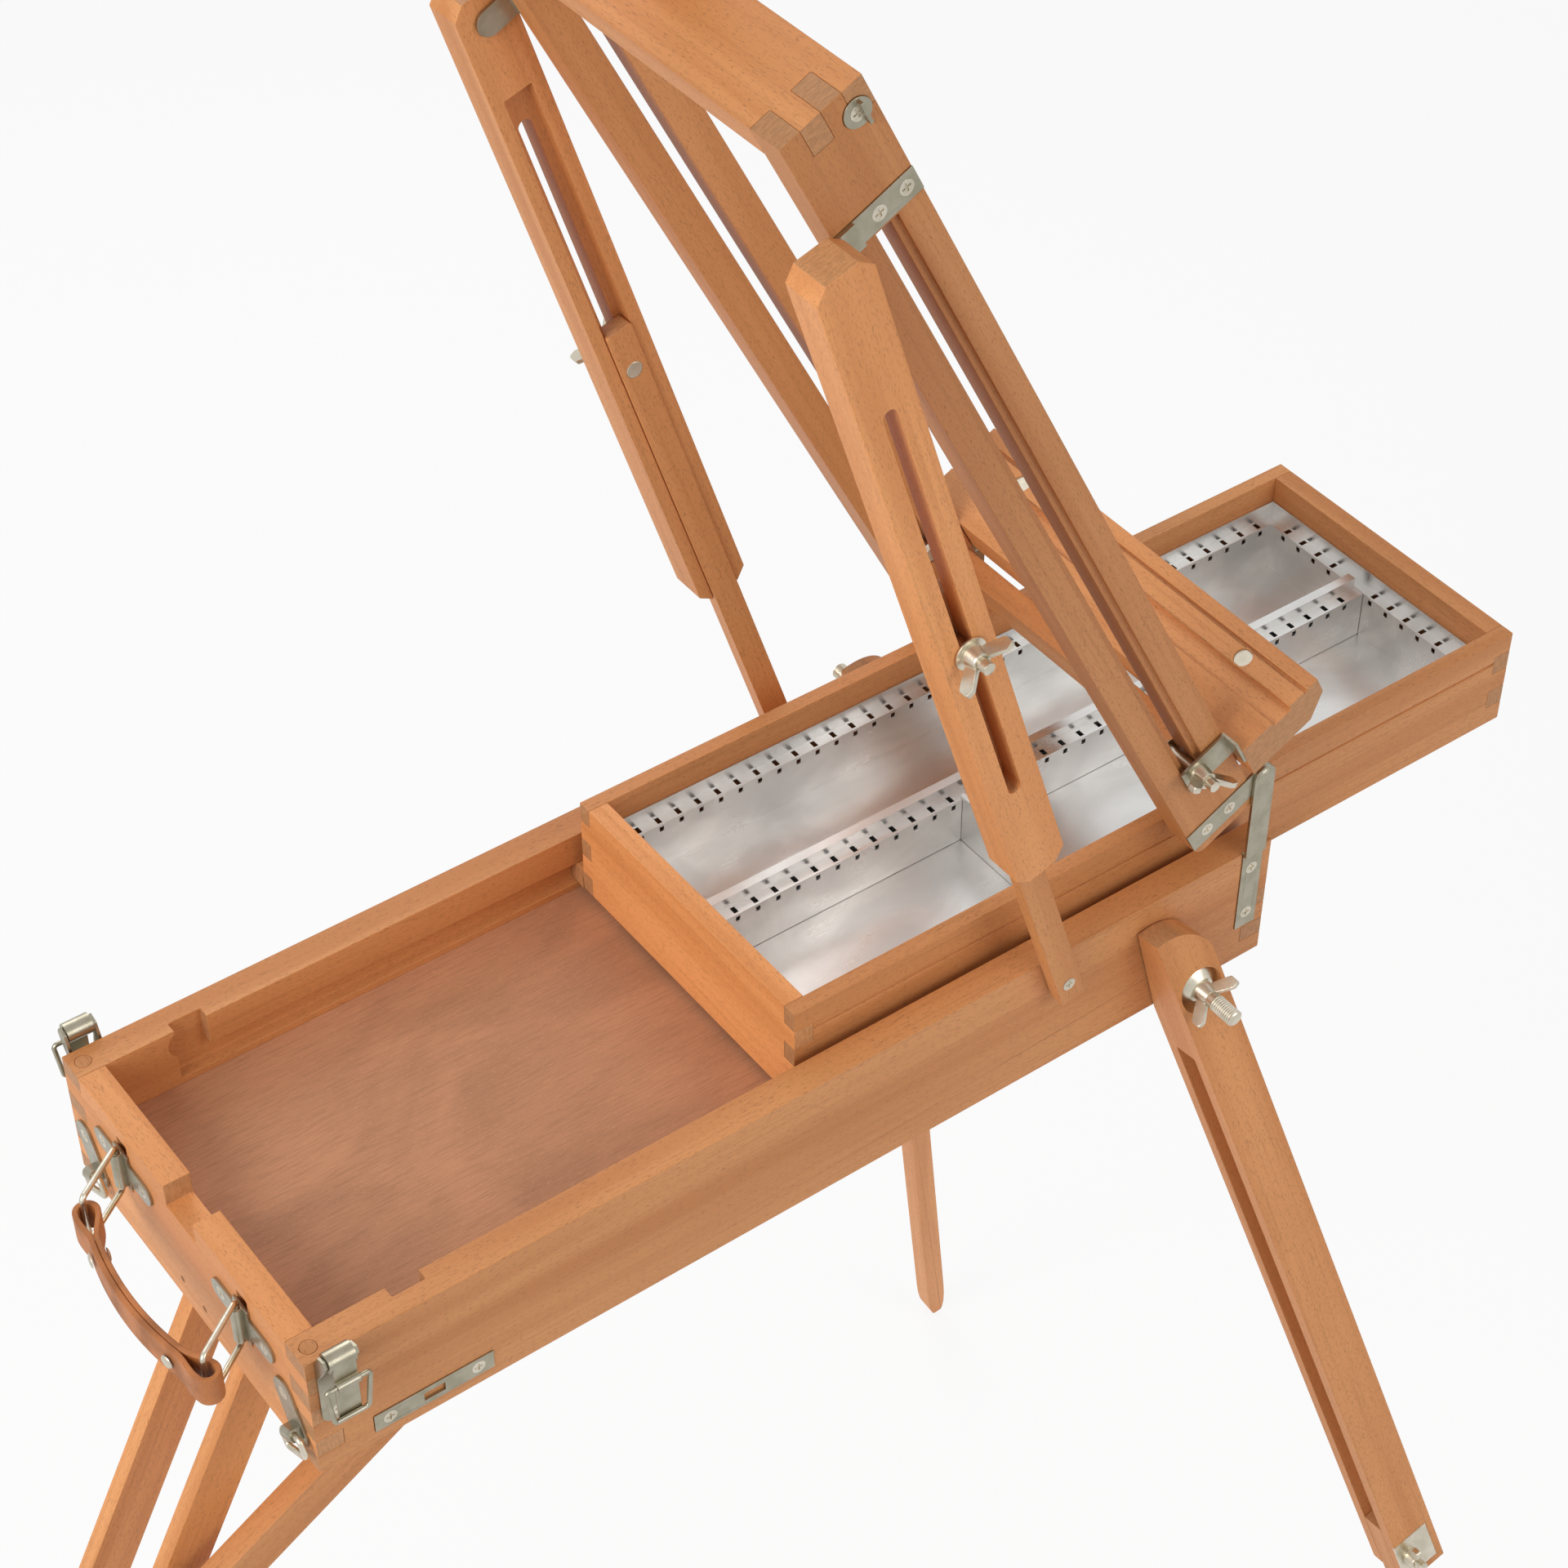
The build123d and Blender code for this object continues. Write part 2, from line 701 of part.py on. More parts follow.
def long_divider():
    """Folded sheet wall down the drawer, with its own slotted shoulder on the near side."""
    x0, x1, _, _, z0, z1 = lining_space()
    x0 += shoulder + liner_clearance
    x1 -= shoulder + liner_clearance
    shoulder_z = z1 - shoulder_drop
    z0 += sheet + liner_clearance
    z1 -= divider_drop
    y0 = divider_centre() - divider_top / 2
    y1 = y0 + divider_top
    hood = block(x0, x1, y0, y1, shoulder_z - sheet, z1) - block(x0, x1, y0 + sheet, y1 - sheet, z0, z1 - sheet)
    far_wall = block(x0, x1, y1 - sheet, y1, z0, z1)
    step = block(x0, x1, y0 - shoulder, y0 + sheet, shoulder_z - sheet, shoulder_z)
    near_wall = block(x0, x1, y0 - shoulder, y0 - shoulder + sheet, z0, shoulder_z)
    return hood + far_wall + step + near_wall - wall_slots(x0, x1, y0, -1, shoulder_z, True)


def cross_divider():
    """Loose divider with a rolled top, standing in one pair of slots."""
    x0, x1, y0, _, z0, z1 = lining_space()
    slots = slot_positions(x0, x1)
    x = slots[int(len(slots) * cross_divider_at)]
    y0 += shoulder + liner_clearance
    y1 = divider_centre() - divider_top / 2 - shoulder - liner_clearance
    half = cross_divider_sheet / 2
    top = z1 - shoulder_drop + cross_divider_roll
    wall = block(x - half, x + half, y0, y1, z0 + sheet + liner_clearance, top)
    return wall + rod((x, y0, top), (x, y1, top), cross_divider_roll)


def drawer_parts():
    """Drawer box, base, lining and dividers."""
    side = drawer_side_board()
    ends = [drawer_end_board(drawer_x0), drawer_end_board(drawer_x1 - drawer_end)]
    return {
        "drawer_near_side": side,
        "drawer_far_side": mirrored(side),
        "drawer_inner_end": ends[0],
        "drawer_outer_end": ends[1],
        "drawer_base": drawer_base_panel(),
        "drawer_lining": drawer_lining(),
        "long_divider": long_divider(),
        "cross_divider": cross_divider(),
    }


def lid_screw_points():
    """Screws in the steel plates of the near lid rail, before the lid is opened."""
    strap = [(pivot.X, -plate_proud, lid_low + along) for along in (11.0, 26.0)]
    stay = [(lid_pin.X, -plate_proud, lid_high - along) for along in (6.0, 20.0)]
    catch = [(latch_x, -plate_proud, catch_z)]
    return strap + stay + catch


def lid_side_rail():
    """Near lid rail with comb end, slot, shallow channel and plate recesses."""
    rail = block(0, box_length, 0, lid_rail, lid_low, lid_high)
    heel = rail.edges().filter_by(Axis.Y).group_by(Axis.Z)[0].sort_by(Axis.X)[-1]
    rail = fillet(heel, lid_heel_round)
    height = lid_depth / lid_fingers
    cuts = finger_cuts(0, lid_top_rail, 0, lid_rail, lid_low, height, lid_fingers, 1)
    x0 = pivot.X - lid_slot_end
    x1 = pivot.X - lid_slot_start
    cuts.append(slot_bar(x0, x1, lid_slot_width, 0, lid_rail, lid_middle))
    half = lid_channel_width / 2
    cuts.append(block(x0, x1, 0, lid_channel_depth, lid_middle - half, lid_middle + half))
    half = strap_width / 2
    cuts.append(block(pivot.X - half, pivot.X + half, 0, flush, lid_low, lid_high))
    cuts.append(block(lid_pin.X - half, lid_pin.X + half, 0, flush, lid_low, lid_high))
    cuts.append(catch_recess())
    cuts += [screw_hole(point, (0, -1, 0)) for point in lid_screw_points()]
    return rail - cuts - lid_foot_rail()


def lid_foot_rail():
    """Flat rail housed between the side rails, rounded where it swings over the drawer."""
    z1 = lid_high - foot_rail_set_back
    y0 = lid_rail - lid_rail / 3
    x0 = box_length - foot_rail_width
    rail = block(x0, box_length, y0, box_width - y0, z1 - foot_rail_thickness, z1)
    edge = rail.edges().filter_by(Axis.Y).group_by(Axis.Z)[0].sort_by(Axis.X)[-1]
    return fillet(edge, foot_rail_round)


def catch_recess():
    """Round seat of the latch catch in the lid's near corner."""
    return rod((latch_x, 0, catch_z), (latch_x, flush, catch_z), strap_width / 2)


def lid_top_board():
    """Top rail of the lid, comb-jointed, with the notch that the mast slides in."""
    board = block(0, lid_top_rail, 0, box_width, lid_low, lid_high)
    height = lid_depth / lid_fingers
    cuts = []
    for y0 in (0, box_width - lid_rail):
        cuts += finger_cuts(0, lid_top_rail, y0, y0 + lid_rail, lid_low, height, lid_fingers, 0)
    half = mast_width / 2 + mast_clearance
    mast_low = lid_high - mast_drop - mast_thickness - mast_clearance
    cuts.append(block(0, lid_top_rail, middle_y - half, middle_y + half, mast_low, lid_high))
    half = mast_plate_length / 2
    cuts.append(block(0, lid_top_rail, middle_y - half, middle_y + half, lid_high - plate, lid_high))
    for cut in [catch_recess()] + [screw_hole(point, (0, -1, 0)) for point in lid_screw_points()[4:]]:
        cuts += both_sides(cut)
    return board - cuts


def lid_straps_and_plates():
    """Near-side steel plates of the lid: hinge strap, stay plate and latch catch."""
    half = strap_width / 2
    strap = block(pivot.X - half, pivot.X + half, -plate_proud, flush, lid_low, pivot.Z)
    strap += rod((pivot.X, -plate_proud, pivot.Z), (pivot.X, flush, pivot.Z), half)
    strap -= rod((pivot.X, -plate, pivot.Z), (pivot.X, plate, pivot.Z), rivet_radius + running)
    stay_plate = block(lid_pin.X - half, lid_pin.X + half, -plate_proud, flush, lid_low, lid_high)
    tab_face = -plate_proud - plate
    lap = lid_low + lid_tab_lap
    stay_plate += block(lid_pin.X - half, lid_pin.X + half, tab_face, -plate_proud, lid_pin.Z, lap)
    stay_plate += rod((lid_pin.X, tab_face, lid_pin.Z), (lid_pin.X, -plate_proud, lid_pin.Z), half)
    catch = rod((latch_x, -plate_proud, catch_z), (latch_x, flush, catch_z), half)
    lip = block(latch_x - half + 1.0, latch_x + half - 1.0, -4.0, -plate_proud, catch_z + 1.0, catch_z + 1.0 + plate)
    catch += lip
    holes = [screw_hole(point, (0, -1, 0)) for point in lid_screw_points()]
    return strap - holes, stay_plate - holes, catch - holes


def mast_clamp():
    """Plate across the mast notch and the wing screw that presses on the mast."""
    half = mast_plate_length / 2
    middle = lid_top_rail / 2
    top = lid_high
    cover = block(0, lid_top_rail, middle_y - half, middle_y + half, top - plate, top)
    stud = rod((middle, middle_y, top - mast_drop + mast_clearance), (middle, middle_y, top + nut_height + bolt_tip), bolt_radius)
    nut = wing_nut((middle, middle_y, top), (0, 0, 1), (0, 1, 0))
    return [cover - stud, nut, stud]


def lid_parts():
    """Lid frame with its plates, screws and mast clamp."""
    rail = lid_side_rail()
    strap, stay_plate, catch = lid_straps_and_plates()
    screws = []
    for point in lid_screw_points():
        screws += both_sides(screw(point, (0, -1, 0)))
    pieces = {
        "lid_near_rail": rail,
        "lid_far_rail": mirrored(rail),
        "lid_top_rail": lid_top_board(),
        "lid_foot_rail": lid_foot_rail(),
        "lid_hinge_straps": group(both_sides(strap)),
        "lid_plates": group(both_sides(stay_plate) + both_sides(catch)),
        "lid_screws": group(screws),
        "mast_clamp": group(mast_clamp()),
    }
    return {name: opened(shape) for name, shape in pieces.items()}


def canvas_ledge():
    """Grooved shelf across the front of the lid, chamfered along its outer edge."""
    x0 = pivot.X - ledge_low - ledge_thickness
    x1 = pivot.X - ledge_low
    z0 = lid_high + ledge_gap
    z1 = z0 + ledge_width
    points = [(x0, z0), (x1, z0), (x1, z1 - ledge_chamfer), (x1 - ledge_thickness / 2, z1), (x0, z1)]
    board = prism(points, -ledge_overhang, box_width + ledge_overhang)
    rebate_z = z0 + ledge_rebate_from
    ends = (-ledge_overhang, box_width + ledge_overhang)
    cuts = [block(x0, x0 + ledge_rebate_depth, *ends, rebate_z, rebate_z + ledge_rebate_width)]
    line_z = z0 + ledge_line_from
    cuts.append(block(x0, x0 + ledge_line_width, *ends, line_z, line_z + ledge_line_width))
    cuts += ledge_pins(0)
    return board - cuts


def ledge_pins(sink):
    """Steel studs let into the ledge near both ends, with their faces sunk."""
    x0 = pivot.X - ledge_low - ledge_thickness
    z = lid_high + ledge_gap + ledge_pin_from
    y = -ledge_overhang + ledge_pin_inset
    return both_sides(rod((x0 + sink, y, z), (x0 + ledge_pin_depth, y, z), ledge_pin_radius))


def ledge_bracket():
    """Bent plate that ties the ledge to its clamping bolt on the near rail."""
    half = bracket_width / 2
    x0 = ledge_bolt_x - half
    x1 = ledge_bolt_x + half
    outer = -bracket_gap - plate
    top = lid_high + ledge_gap
    face = block(x0, x1, outer, -bracket_gap, lid_middle - half, top)
    foot = block(x0, x1, -ledge_overhang, -bracket_gap, top - plate, top)
    hole = rod((ledge_bolt_x, outer, lid_middle), (ledge_bolt_x, 0, lid_middle), bolt_radius)
    return face + foot - hole


def ledge_clamp():
    """Bolt through the lid rail's slot with a wing nut outside."""
    outer = -bracket_gap - plate
    head_y = lid_rail + running * 5
    tip = (ledge_bolt_x, outer - nut_height - bolt_tip, lid_middle)
    bolt = carriage_bolt((ledge_bolt_x, head_y, lid_middle), tip)
    nut = wing_nut((ledge_bolt_x, outer, lid_middle), (0, -1, 0), (0.75, 0, 0.66))
    return [bolt, nut]


def ledge_parts():
    """The sliding canvas ledge and what clamps it."""
    clamps = ledge_pins(ledge_pin_sink)
    for shape in ledge_clamp():
        clamps += both_sides(shape)
    pieces = {
        "canvas_ledge": canvas_ledge(),
        "ledge_brackets": group(both_sides(ledge_bracket())),
        "ledge_hardware": group(clamps),
    }
    return {name: opened(shape) for name, shape in pieces.items()}


def mast_parts():
    """Sliding mast with the upper canvas clamp."""
    x1 = lid_top_rail + mast_tail
    x0 = x1 - mast_length
    z1 = lid_high - mast_drop
    z0 = z1 - mast_thickness
    half = mast_width / 2
    bar = block(x0, x1, middle_y - half, middle_y + half, z0, z1)
    bar = chamfer(bar.edges().filter_by(Axis.Z).sort_by(Axis.X)[:2], mast_thickness / 3)
    top = x0 + clamp_from_top
    points = [
        (top, z1), (top + clamp_block_height, z1),
        (top + clamp_block_height, z1 + clamp_block_reach),
        (top + clamp_block_height - clamp_block_lip, z1 + clamp_block_reach),
        (top, z1 + clamp_block_lip),
    ]
    jaw = prism(points, middle_y - half, middle_y + half)
    return {"mast": opened(bar), "upper_canvas_clamp": opened(jaw)}


def stay_line():
    """Direction and length from the box's stay pivot to the raised lid's stay pin."""
    run = (lid_pin - pivot).rotate(Axis.Y, lid_open) + pivot - stay_pivot
    return run.normalized(), run.length


def stay_frame():
    """Plane at the stay pivot with its X along the stay and its Y across the box."""
    along, _ = stay_line()
    return Plane(origin=stay_pivot, x_dir=along, z_dir=along.cross(Vector(*in_y)))


def stay_arm():
    """Thin bar screwed to the box's side, drawn along X from its pivot."""
    half = stay_arm_width / 2
    y1 = -stay_arm_gap
    y0 = y1 - stay_arm_thickness
    bar = block(-stay_arm_tail, stay_bolt_at + stay_arm_head, y0, y1, -half, half)
    bar = chamfer(bar.edges().filter_by(Axis.Y), 1.0)
    bar -= rod((0, y0 + plate, 0), (0, y1, 0), screw_shank + running)
    hole = Plane(origin=(0, y0 + plate, 0), z_dir=(0, -1, 0))
    bar -= hole * Cone(screw_shank + running, screw_head + running, plate, align=LOW)
    seat = Plane(origin=(stay_bolt_at, y1 - bolt_head_height, 0), z_dir=in_y)
    bar -= seat * Cone(bolt_head_radius, bolt_head_radius * 0.7, bolt_head_height, align=LOW)
    return bar - rod((stay_bolt_at, y0, 0), (stay_bolt_at, y1, 0), bolt_radius)


def stay_clamp():
    """Bolt from the arm through the stay's slot, with washer and wing nut."""
    y1 = -stay_arm_gap - bolt_head_height
    outer = -stay_gap - stay_thickness - running * 3
    seat = outer - washer_thickness
    bolt = carriage_bolt((stay_bolt_at, y1, 0), (stay_bolt_at, seat - nut_height - bolt_tip, 0))
    washer = tube((stay_bolt_at, seat, 0), (stay_bolt_at, outer, 0), washer_radius, bolt_radius)
    nut = wing_nut((stay_bolt_at, seat, 0), (0, -1, 0), (0.35, 0, -0.94))
    return [bolt, washer, nut]


def stay_bar():
    """Thick slotted bar that hides the arm in a channel, drawn along X from the pivot."""
    _, reach = stay_line()
    half = stay_width / 2
    x1 = reach + stay_overhang
    x0 = x1 - stay_length
    y1 = -stay_gap
    y0 = y1 - stay_thickness
    c = stay_chamfer
    outline = [(x0, -half + c), (x0 + c, -half), (x1 - c, -half), (x1, -half + c), (x1, half - c), (x1 - c, half), (x0 + c, half), (x0, half - c)]
    bar = prism(outline, y0, y1)
    channel = stay_arm_width / 2 + stay_clearance
    floor_y = -stay_arm_gap - stay_arm_thickness - stay_clearance
    bar -= block(x0, reach - stay_channel_stop, floor_y, y1, -channel, channel)
    slot_end = x0 + stay_slot_from_end
    bar -= slot_bar(slot_end, slot_end + stay_slot_length, stay_slot_width, y0, y1, 0)
    return bar - stay_pin()


def stay_pin():
    """Blind pin from the stay's middle to the tab of the lid's plate."""
    _, reach = stay_line()
    deep = -stay_gap - stay_thickness / 2
    tab_face = -plate_proud - plate
    return rod((reach, deep, 0), (reach, tab_face - running, 0), stay_pin_radius)


def stay_parts():
    """Both telescopic lid stays."""
    frame = stay_frame()
    near = {
        "stay_arm": frame * stay_arm(),
        "stay_clamp": frame * group(stay_clamp()),
        "stay": frame * stay_bar(),
        "stay_pin": frame * stay_pin(),
    }
    parts = {}
    for name, shape in near.items():
        parts[name + "_near"] = shape
        parts[name + "_far"] = mirrored(shape)
    return parts


def leg_inner_face():
    """Where the straight part of the leg's inner face lies in the leg's own Y."""
    splay = math.radians(leg_splay)
    return leg_knee * math.tan(splay) - leg_gap / math.cos(splay)


def place_leg(shape):
    """Splay and lean a leg piece that was drawn straight down from its bolt."""
    shape = turned(shape, (0, 0, 0), (1, 0, 0), -leg_splay)
    shape = turned(shape, (0, 0, 0), in_y, -leg_lean)
    return Pos(leg_bolt_x, 0, leg_bolt_z) * shape


def leg_bar():
    """Front leg with a rounded head and a channel for its foot, drawn straight down."""
    y1 = leg_inner_face()
    y0 = y1 - leg_thickness
    half = leg_width / 2
    bar = block(-half, half, y0, y1, -leg_reach, leg_head)
    corner = bar.edges().filter_by(Axis.Y).sort_by(Axis.Z)[-2:].sort_by(Axis.X)[-1]
    bar = fillet(corner, leg_head_curve)
    middle = (y0 + y1) / 2
    across = foot_thickness / 2 + foot_clearance
    depth = foot_width + foot_clearance
    channel = block(-half, -half + depth, middle - across, middle + across, -leg_reach, -leg_channel_start)
    clamp_z = -leg_reach + foot_clamp_inset
    hole = rod((clamp_x(), y0, clamp_z), (clamp_x(), middle, clamp_z), bolt_radius)
    return bar - [channel, hole, foot_clamp_plate()]


def clamp_x():
    """Where the foot's wing screw lies across the leg's width."""
    return -leg_width / 2 + foot_width / 2


def leg_piece():
    """The placed near leg, cut flat where it lies on the box's side and under its washer."""
    leg = place_leg(leg_bar())
    reach = 2 * leg_reach
    leg -= block(leg_bolt_x - reach, leg_bolt_x + reach, -leg_gap, reach, -reach, reach)
    x, z = leg_bolt_x, leg_bolt_z
    leg -= rod((x, -leg_thickness, z), (x, 0, z), leg_bolt_radius + running)
    return leg - rod((x, -leg_thickness * 2, z), (x, -leg_seat, z), cup_radius + running * 5)


def leg_foot():
    """Plain sliding foot with a rounded tip, drawn straight down."""
    y1 = leg_inner_face()
    middle = y1 - leg_thickness / 2
    half = foot_thickness / 2
    x0 = -leg_width / 2
    top = -leg_reach + foot_overlap
    low = top - foot_length
    tip_inset = (foot_width - foot_tip_width) / 2
    edge = [(tip_inset * inset, low + foot_tip_length * rise) for inset, rise in foot_tip_shape]
    points = [(x0, top), (x0 + foot_width, top)]
    points += [(x0 + foot_width - inset, z) for inset, z in reversed(edge)]
    points += [(x0 + inset, z) for inset, z in edge]
    return prism(points, middle - half, middle + half)


def foot_clamp():
    """Plate let into the leg and the wing screw in it that presses on the foot, drawn straight down."""
    y0 = leg_inner_face() - leg_thickness
    foot_face = y0 + (leg_thickness - foot_thickness) / 2
    x, z = clamp_x(), -leg_reach + foot_clamp_inset
    cover = foot_clamp_plate()
    stud = rod((x, foot_face, z), (x, y0 - nut_height - bolt_tip, z), bolt_radius)
    nut = wing_nut((x, y0, z), (0, -1, 0), (0, 0, 1))
    return [cover - stud, nut, stud]


def foot_clamp_plate():
    """Threaded plate at the lower end of the leg's outer face, drawn straight down."""
    y0 = leg_inner_face() - leg_thickness
    half = foot_plate_width / 2
    z = -leg_reach + foot_clamp_inset
    x1 = -leg_width / 2 + foot_plate_width
    reach = foot_plate_length / 2
    return block(-leg_width / 2, x1, y0, y0 + plate, z - reach, z + reach)


def floor_height():
    """Height of the ground under the box, from the end of a front foot."""
    return place_leg(leg_foot()).bounding_box().min.Z + foot_wear


def worn_flat(foot):
    """A foot cut level where it stands on the ground."""
    ground = floor_height()
    reach = 2 * box_length
    return foot - block(-reach, 2 * reach, -reach, reach, ground - reach, ground)


def leg_parts():
    """Both front legs with their feet and clamps."""
    near = {
        "front_leg": leg_piece(),
        "front_foot": worn_flat(place_leg(leg_foot())),
        "foot_clamp": place_leg(group(foot_clamp())),
    }
    parts = {}
    for name, shape in near.items():
        parts[name + "_near"] = shape
        parts[name + "_far"] = mirrored(shape)
    return parts


def place_rear(shape):
    """Tilt a rear leg piece that was drawn straight down from its axle."""
    shape = turned(shape, (0, 0, 0), in_y, rear_tilt)
    return Pos(rear_pivot_x, middle_y, rear_pivot_z) * shape


def rear_rail(side):
    """One rail of the rear leg, with a round head and holes, drawn straight down."""
    half = rear_rail_depth / 2
    centre = side * rear_rail_spacing / 2
    y0 = centre - rear_rail_thickness / 2
    y1 = centre + rear_rail_thickness / 2
    rail = block(-half, half, y0, y1, -rear_rail_length, 0) + rod((0, y0, 0), (0, y1, 0), half)
    rail -= rod((0, y0, 0), (0, y1, 0), rear_axle_radius + running)
    clamp_z = -rear_rail_length + foot_clamp_inset
    rail -= rod((0, y0, clamp_z), (0, y1, clamp_z), bolt_radius)
    if side < 0:
        rail -= rod((0, y0, -brace_pin_at), (0, y1, -brace_pin_at), bolt_radius)
    return rail


def rear_inner_half():
    """Half the clear width between the rear leg's rails."""
    return rear_rail_spacing / 2 - rear_rail_thickness / 2


def rear_spacer():
    """Block between the rails that keeps them apart below the axle."""
    half = rear_foot_thickness / 2
    y = rear_inner_half()
    top = -rear_rail_depth
    return block(-half, half, -y, y, top - rear_rail_depth, top)


def rear_foot_low():
    """Lower end of the rear foot along the leg, where its tip meets the ground."""
    tilt = math.radians(rear_tilt)
    tip = floor_height() - foot_wear - rear_pivot_z + rear_foot_thickness / 2 * math.sin(tilt)
    return tip / math.cos(tilt)


def rear_foot():
    """Wide sliding foot between the rails, slotted for the clamp bolt."""
    y = rear_inner_half() - foot_clearance
    half = rear_foot_thickness / 2
    low = rear_foot_low()
    top = low + rear_foot_length
    shoulder_z = low + foot_tip_length
    points = [(-y, top), (y, top), (y, shoulder_z), (y / 2, low), (-y / 2, low), (-y, shoulder_z)]
    foot = prism(points, -half, half, "YZ")
    slot_half = rear_slot_width / 2
    slot_top = foot_clamp_inset - rear_rail_length + slot_half
    foot -= block(-slot_half, slot_half, -y, y, shoulder_z + rear_slot_end, slot_top)
    return worn_flat(place_rear(foot))


def rear_clamp():
    """Bolt and wing nut across the rails, drawn straight down."""
    y = rear_rail_spacing / 2 + rear_rail_thickness / 2
    z = -rear_rail_length + foot_clamp_inset
    bolt = carriage_bolt((0, y, z), (0, -y - nut_height - bolt_tip, z))
    nut = wing_nut((0, -y, z), (0, -1, 0), (0, 0, 1))
    return [bolt, nut]


def brace_pin_point():
    """Where the brace is pinned to the rear leg."""
    tilt = math.radians(rear_tilt)
    x = rear_pivot_x - brace_pin_at * math.sin(tilt)
    return x, rear_pivot_z - brace_pin_at * math.cos(tilt)


def brace_side():
    """Lowest and highest Y of the brace."""
    y1 = middle_y - rear_rail_spacing / 2 - rear_rail_thickness / 2 - brace_side_gap
    return y1 - brace_thickness, y1


def hook_point():
    """Where the brace's hook rests on the pin under the box."""
    x, z = brace_pin_point()
    rise = math.radians(brace_rise)
    return x + brace_length * math.cos(rise), z + brace_length * math.sin(rise)


def brace():
    """Bar from the rear leg to the box, hooked at its upper end."""
    y0, y1 = brace_side()
    half = brace_width / 2
    bar = block(0, brace_length, y0, y1, -half, half)
    for x in (0, brace_length):
        bar += rod((x, y0, 0), (x, y1, 0), half)
    bar -= rod((0, y0, 0), (0, y1, 0), bolt_radius + running)
    bore = rear_axle_radius + brace_pin_clearance
    bar -= rod((brace_length, y0, 0), (brace_length, y1, 0), bore)
    mouth = block(-brace_width, 0, y0, y1, -bore, bore)
    mouth = turned(mouth, (0, 0, 0), in_y, 90.0 - brace_width)
    bar -= Pos(brace_length, 0, 0) * mouth
    x, z = brace_pin_point()
    return Pos(x, 0, z) * turned(bar, (0, 0, 0), in_y, -brace_rise)


def brace_pin():
    """Shouldered pin that carries the brace beside the near rail."""
    x, z = brace_pin_point()
    y0, y1 = brace_side()
    rail_y0 = middle_y - rear_rail_spacing / 2 - rear_rail_thickness / 2
    rail_y1 = rail_y0 + rear_rail_thickness
    pin = rod((x, y0 - rivet_cap * 2, z), (x, rail_y1, z), bolt_radius)
    pin += rod((x, y1 + running * 5, z), (x, rail_y0, z), nut_radius)
    return pin + rod((x, y0 - rivet_cap * 2, z), (x, y0 - running * 5, z), nut_radius)


def rear_mount():
    """Blocks under the floor that carry the rear axle, with the axle."""
    half = rear_rail_spacing / 2 + rear_rail_thickness / 2 + rear_block_gap
    x0 = rear_pivot_x - rear_block_length / 2
    x1 = rear_pivot_x + rear_block_length / 2
    y0 = middle_y - half - rear_block_thickness
    blocks = block(x0, x1, y0, middle_y - half, 0, floor_bottom)
    y1 = box_width - y0
    axle = rod((rear_pivot_x, y0, rear_pivot_z), (rear_pivot_x, y1, rear_pivot_z), rear_axle_radius)
    return group(both_sides(blocks - axle)), axle


def brace_bracket():
    """Steel bracket under the floor with the pin that the brace hooks on."""
    x, z = hook_point()
    y0, y1 = brace_side()
    y0 -= brace_pin_clearance
    y1 += brace_pin_clearance
    half = screw_inset
    top = floor_bottom
    plate_part = block(x - 2 * half, x + 2 * half, y0 - plate, y1 + plate, top - plate, top)
    low = z - rear_axle_radius * 2
    ears = block(x - half, x + half, y0 - plate, y0, low, top) + block(x - half, x + half, y1, y1 + plate, low, top)
    pin = rod((x, y0 - plate, z), (x, y1 + plate, z), rear_axle_radius)
    return [plate_part + ears - pin, pin]


def rear_parts():
    """Rear leg, brace and what carries them."""
    blocks, axle = rear_mount()
    rails = [rear_rail(-1), rear_rail(1), rear_spacer()]
    return {
        "rear_leg_blocks": blocks,
        "rear_fittings": group([axle] + brace_bracket()),
        "rear_leg": place_rear(group(rails)),
        "rear_foot": rear_foot(),
        "rear_leg_hardware": group([place_rear(piece) for piece in rear_clamp()] + [brace_pin()]),
        "brace": brace(),
    }


def end_plate(length, width, y, z, tilt):
    """A round-ended plate on the handle end, with its length across the end board."""
    face = Plane(origin=(0, y, z), x_dir=(0, 1, 0), z_dir=(-1, 0, 0))
    return face * (Rot(0, 0, tilt) * pill(length, width, plate))


def handle_plate_centres():
    """Across positions of the two handle plates."""
    return [middle_y - handle_plate_spacing / 2, middle_y + handle_plate_spacing / 2]


def ring_plate_centres():
    """Across positions of the two strap ring plates."""
    return [ring_inset, box_width - ring_inset]


def end_screw_points():
    """Screws of the handle plates and ring plates."""
    points = []
    reach = handle_plate_length / 2 - screw_inset
    for y in handle_plate_centres():
        points += [(-plate, y - reach, handle_plate_z), (-plate, y + reach, handle_plate_z)]
    tilt = math.radians(ring_plate_tilt)
    reach = ring_plate_length / 2 - screw_inset
    for y in ring_plate_centres():
        points.append((-plate, y + reach * math.sin(tilt), ring_plate_z + reach * math.cos(tilt)))
    return points


def bail_recess(y):
    """Hollow in the end board behind a handle plate, open above and below its sleeve."""
    half = bail_height / 2 + wire_radius
    return rod((0, y, handle_plate_z - half), (0, y, handle_plate_z + half), bail_recess_radius)


